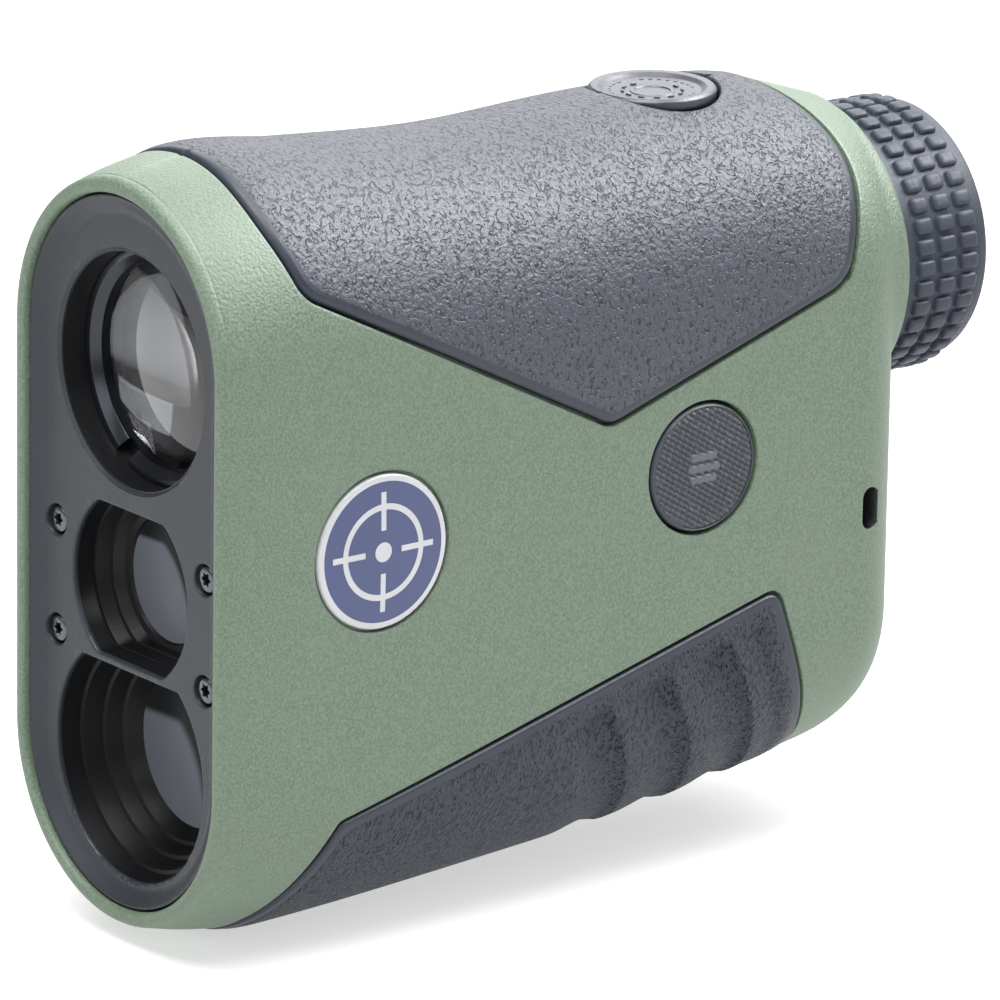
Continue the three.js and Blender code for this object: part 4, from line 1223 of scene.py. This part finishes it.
def build():
    dress_nodes()
    case_half(True)
    case_half(False)
    armour_piece("top_armour_skin", TOP_ARMOUR, True, armour, "top_armour", top_height,
                 button_arc(BUTTON_CUT_R))
    armour_piece("lower_armour_skin", LOWER_ARMOUR, False, low_armour, "lower_armour", low_height, step=0.45)
    front_rim()
    bezel()
    screws()
    optics()
    eyepiece()
    measure_button()
    mode_button()
    badge()
    battery_cap()


# ---- Stage ----

AZIMUTH, ELEVATION, ROLL = (math.radians(v) for v in (51.83, 16.79, 0.914))
CAMERA_AWAY = 873.5  # millimetres from the objective's middle
AIM_RIGHT, AIM_UP = 36.08, -11.82


def camera():
    level = math.cos(ELEVATION)
    back = np.array([math.sin(AZIMUTH) * level, -math.cos(AZIMUTH) * level, math.sin(ELEVATION)])
    right = np.array([math.cos(AZIMUTH), math.sin(AZIMUTH), 0.0])
    up = np.cross(back, right)
    place = (right * AIM_RIGHT + up * AIM_UP + back * CAMERA_AWAY + ORIGIN) * MM
    turned_right = math.cos(ROLL) * right + math.sin(ROLL) * up
    turned_up = -math.sin(ROLL) * right + math.cos(ROLL) * up
    data = bpy.data.cameras.new("camera")
    data.lens, data.sensor_width = 324, 36
    data.clip_start, data.clip_end = 0.05, 50
    made = placed("camera", data)
    turn = Matrix(np.array([turned_right, turned_up, back]).T.tolist())
    made.matrix_world = Matrix.Translation(place) @ turn.to_4x4()
    bpy.context.scene.camera = made


def area_light(name, place, aim, size, power, shine_only=False):
    data = bpy.data.lights.new(name, "AREA")
    data.shape, data.size, data.size_y = "RECTANGLE", *size
    data.energy = power
    made = placed(name, data)
    made.visible_diffuse = not shine_only
    made.location = place
    made.rotation_euler = (Vector(aim) - Vector(place)).to_track_quat("-Z", "Y").to_euler()
    return made


def stage():
    mesh = bpy.data.meshes.new("floor")
    reach = 6.0
    corners = [(x * reach, y * reach, 0) for x, y in ((-1, -1), (1, -1), (1, 1), (-1, 1))]
    mesh.from_pydata(corners, [], [[0, 1, 2, 3]])
    look = Look("floor_paper", 0.9)
    look.colour(look.noise(40.0, 2), (0.5, 0.5, 0.5, 1), (0.52, 0.52, 0.52, 1))
    look.shader.inputs["Emission Color"].default_value = (1, 1, 1, 1)
    look.shader.inputs["Emission Strength"].default_value = 0.58
    mesh.materials.append(look.material)
    placed("floor", mesh)
    world = bpy.data.worlds.new("studio")
    bpy.context.scene.world = world
    world.use_nodes = True
    world.node_tree.nodes["Background"].inputs["Color"].default_value = (1.0, 1.0, 1.0, 1)
    world.node_tree.nodes["Background"].inputs["Strength"].default_value = 0.2
    area_light("overhead", (-0.18, 0.5, 0.72), (0, 0, 0.05), (1.6, 0.8), 13.0)
    area_light("top", (0.1, -0.22, 0.85), (0, 0, 0.05), (0.6, 0.5), 10.0)
    area_light("key", (0.66, -0.54, 0.5), (0, -0.04, 0.04), (0.2, 0.2), 1.0)
    area_light("shoulder", (0.3, 0.6, 0.74), (0, 0, 0.06), (0.8, 0.5), 18.0, shine_only=True)
    area_light("backdrop", (-0.75, 0.7, 0.45), (0, 0, 0.06), (1.2, 0.6), 4.0, shine_only=True)
    area_light("strip", (-0.02, -0.85, 0.42), (0, -0.05, 0.06), (1.1, 0.4), 3.2, shine_only=True)
    spot = area_light("window_spot", (0.66, -0.54, 0.5), (0, -0.05, 0.03), (0.04, 0.04), 120.0)
    group = bpy.data.collections.new("windows")
    for window in WINDOWS:
        group.objects.link(window)
    spot.light_linking.receiver_collection = group
    bpy.context.scene.view_settings.view_transform = "Standard"


build()
camera()
stage()
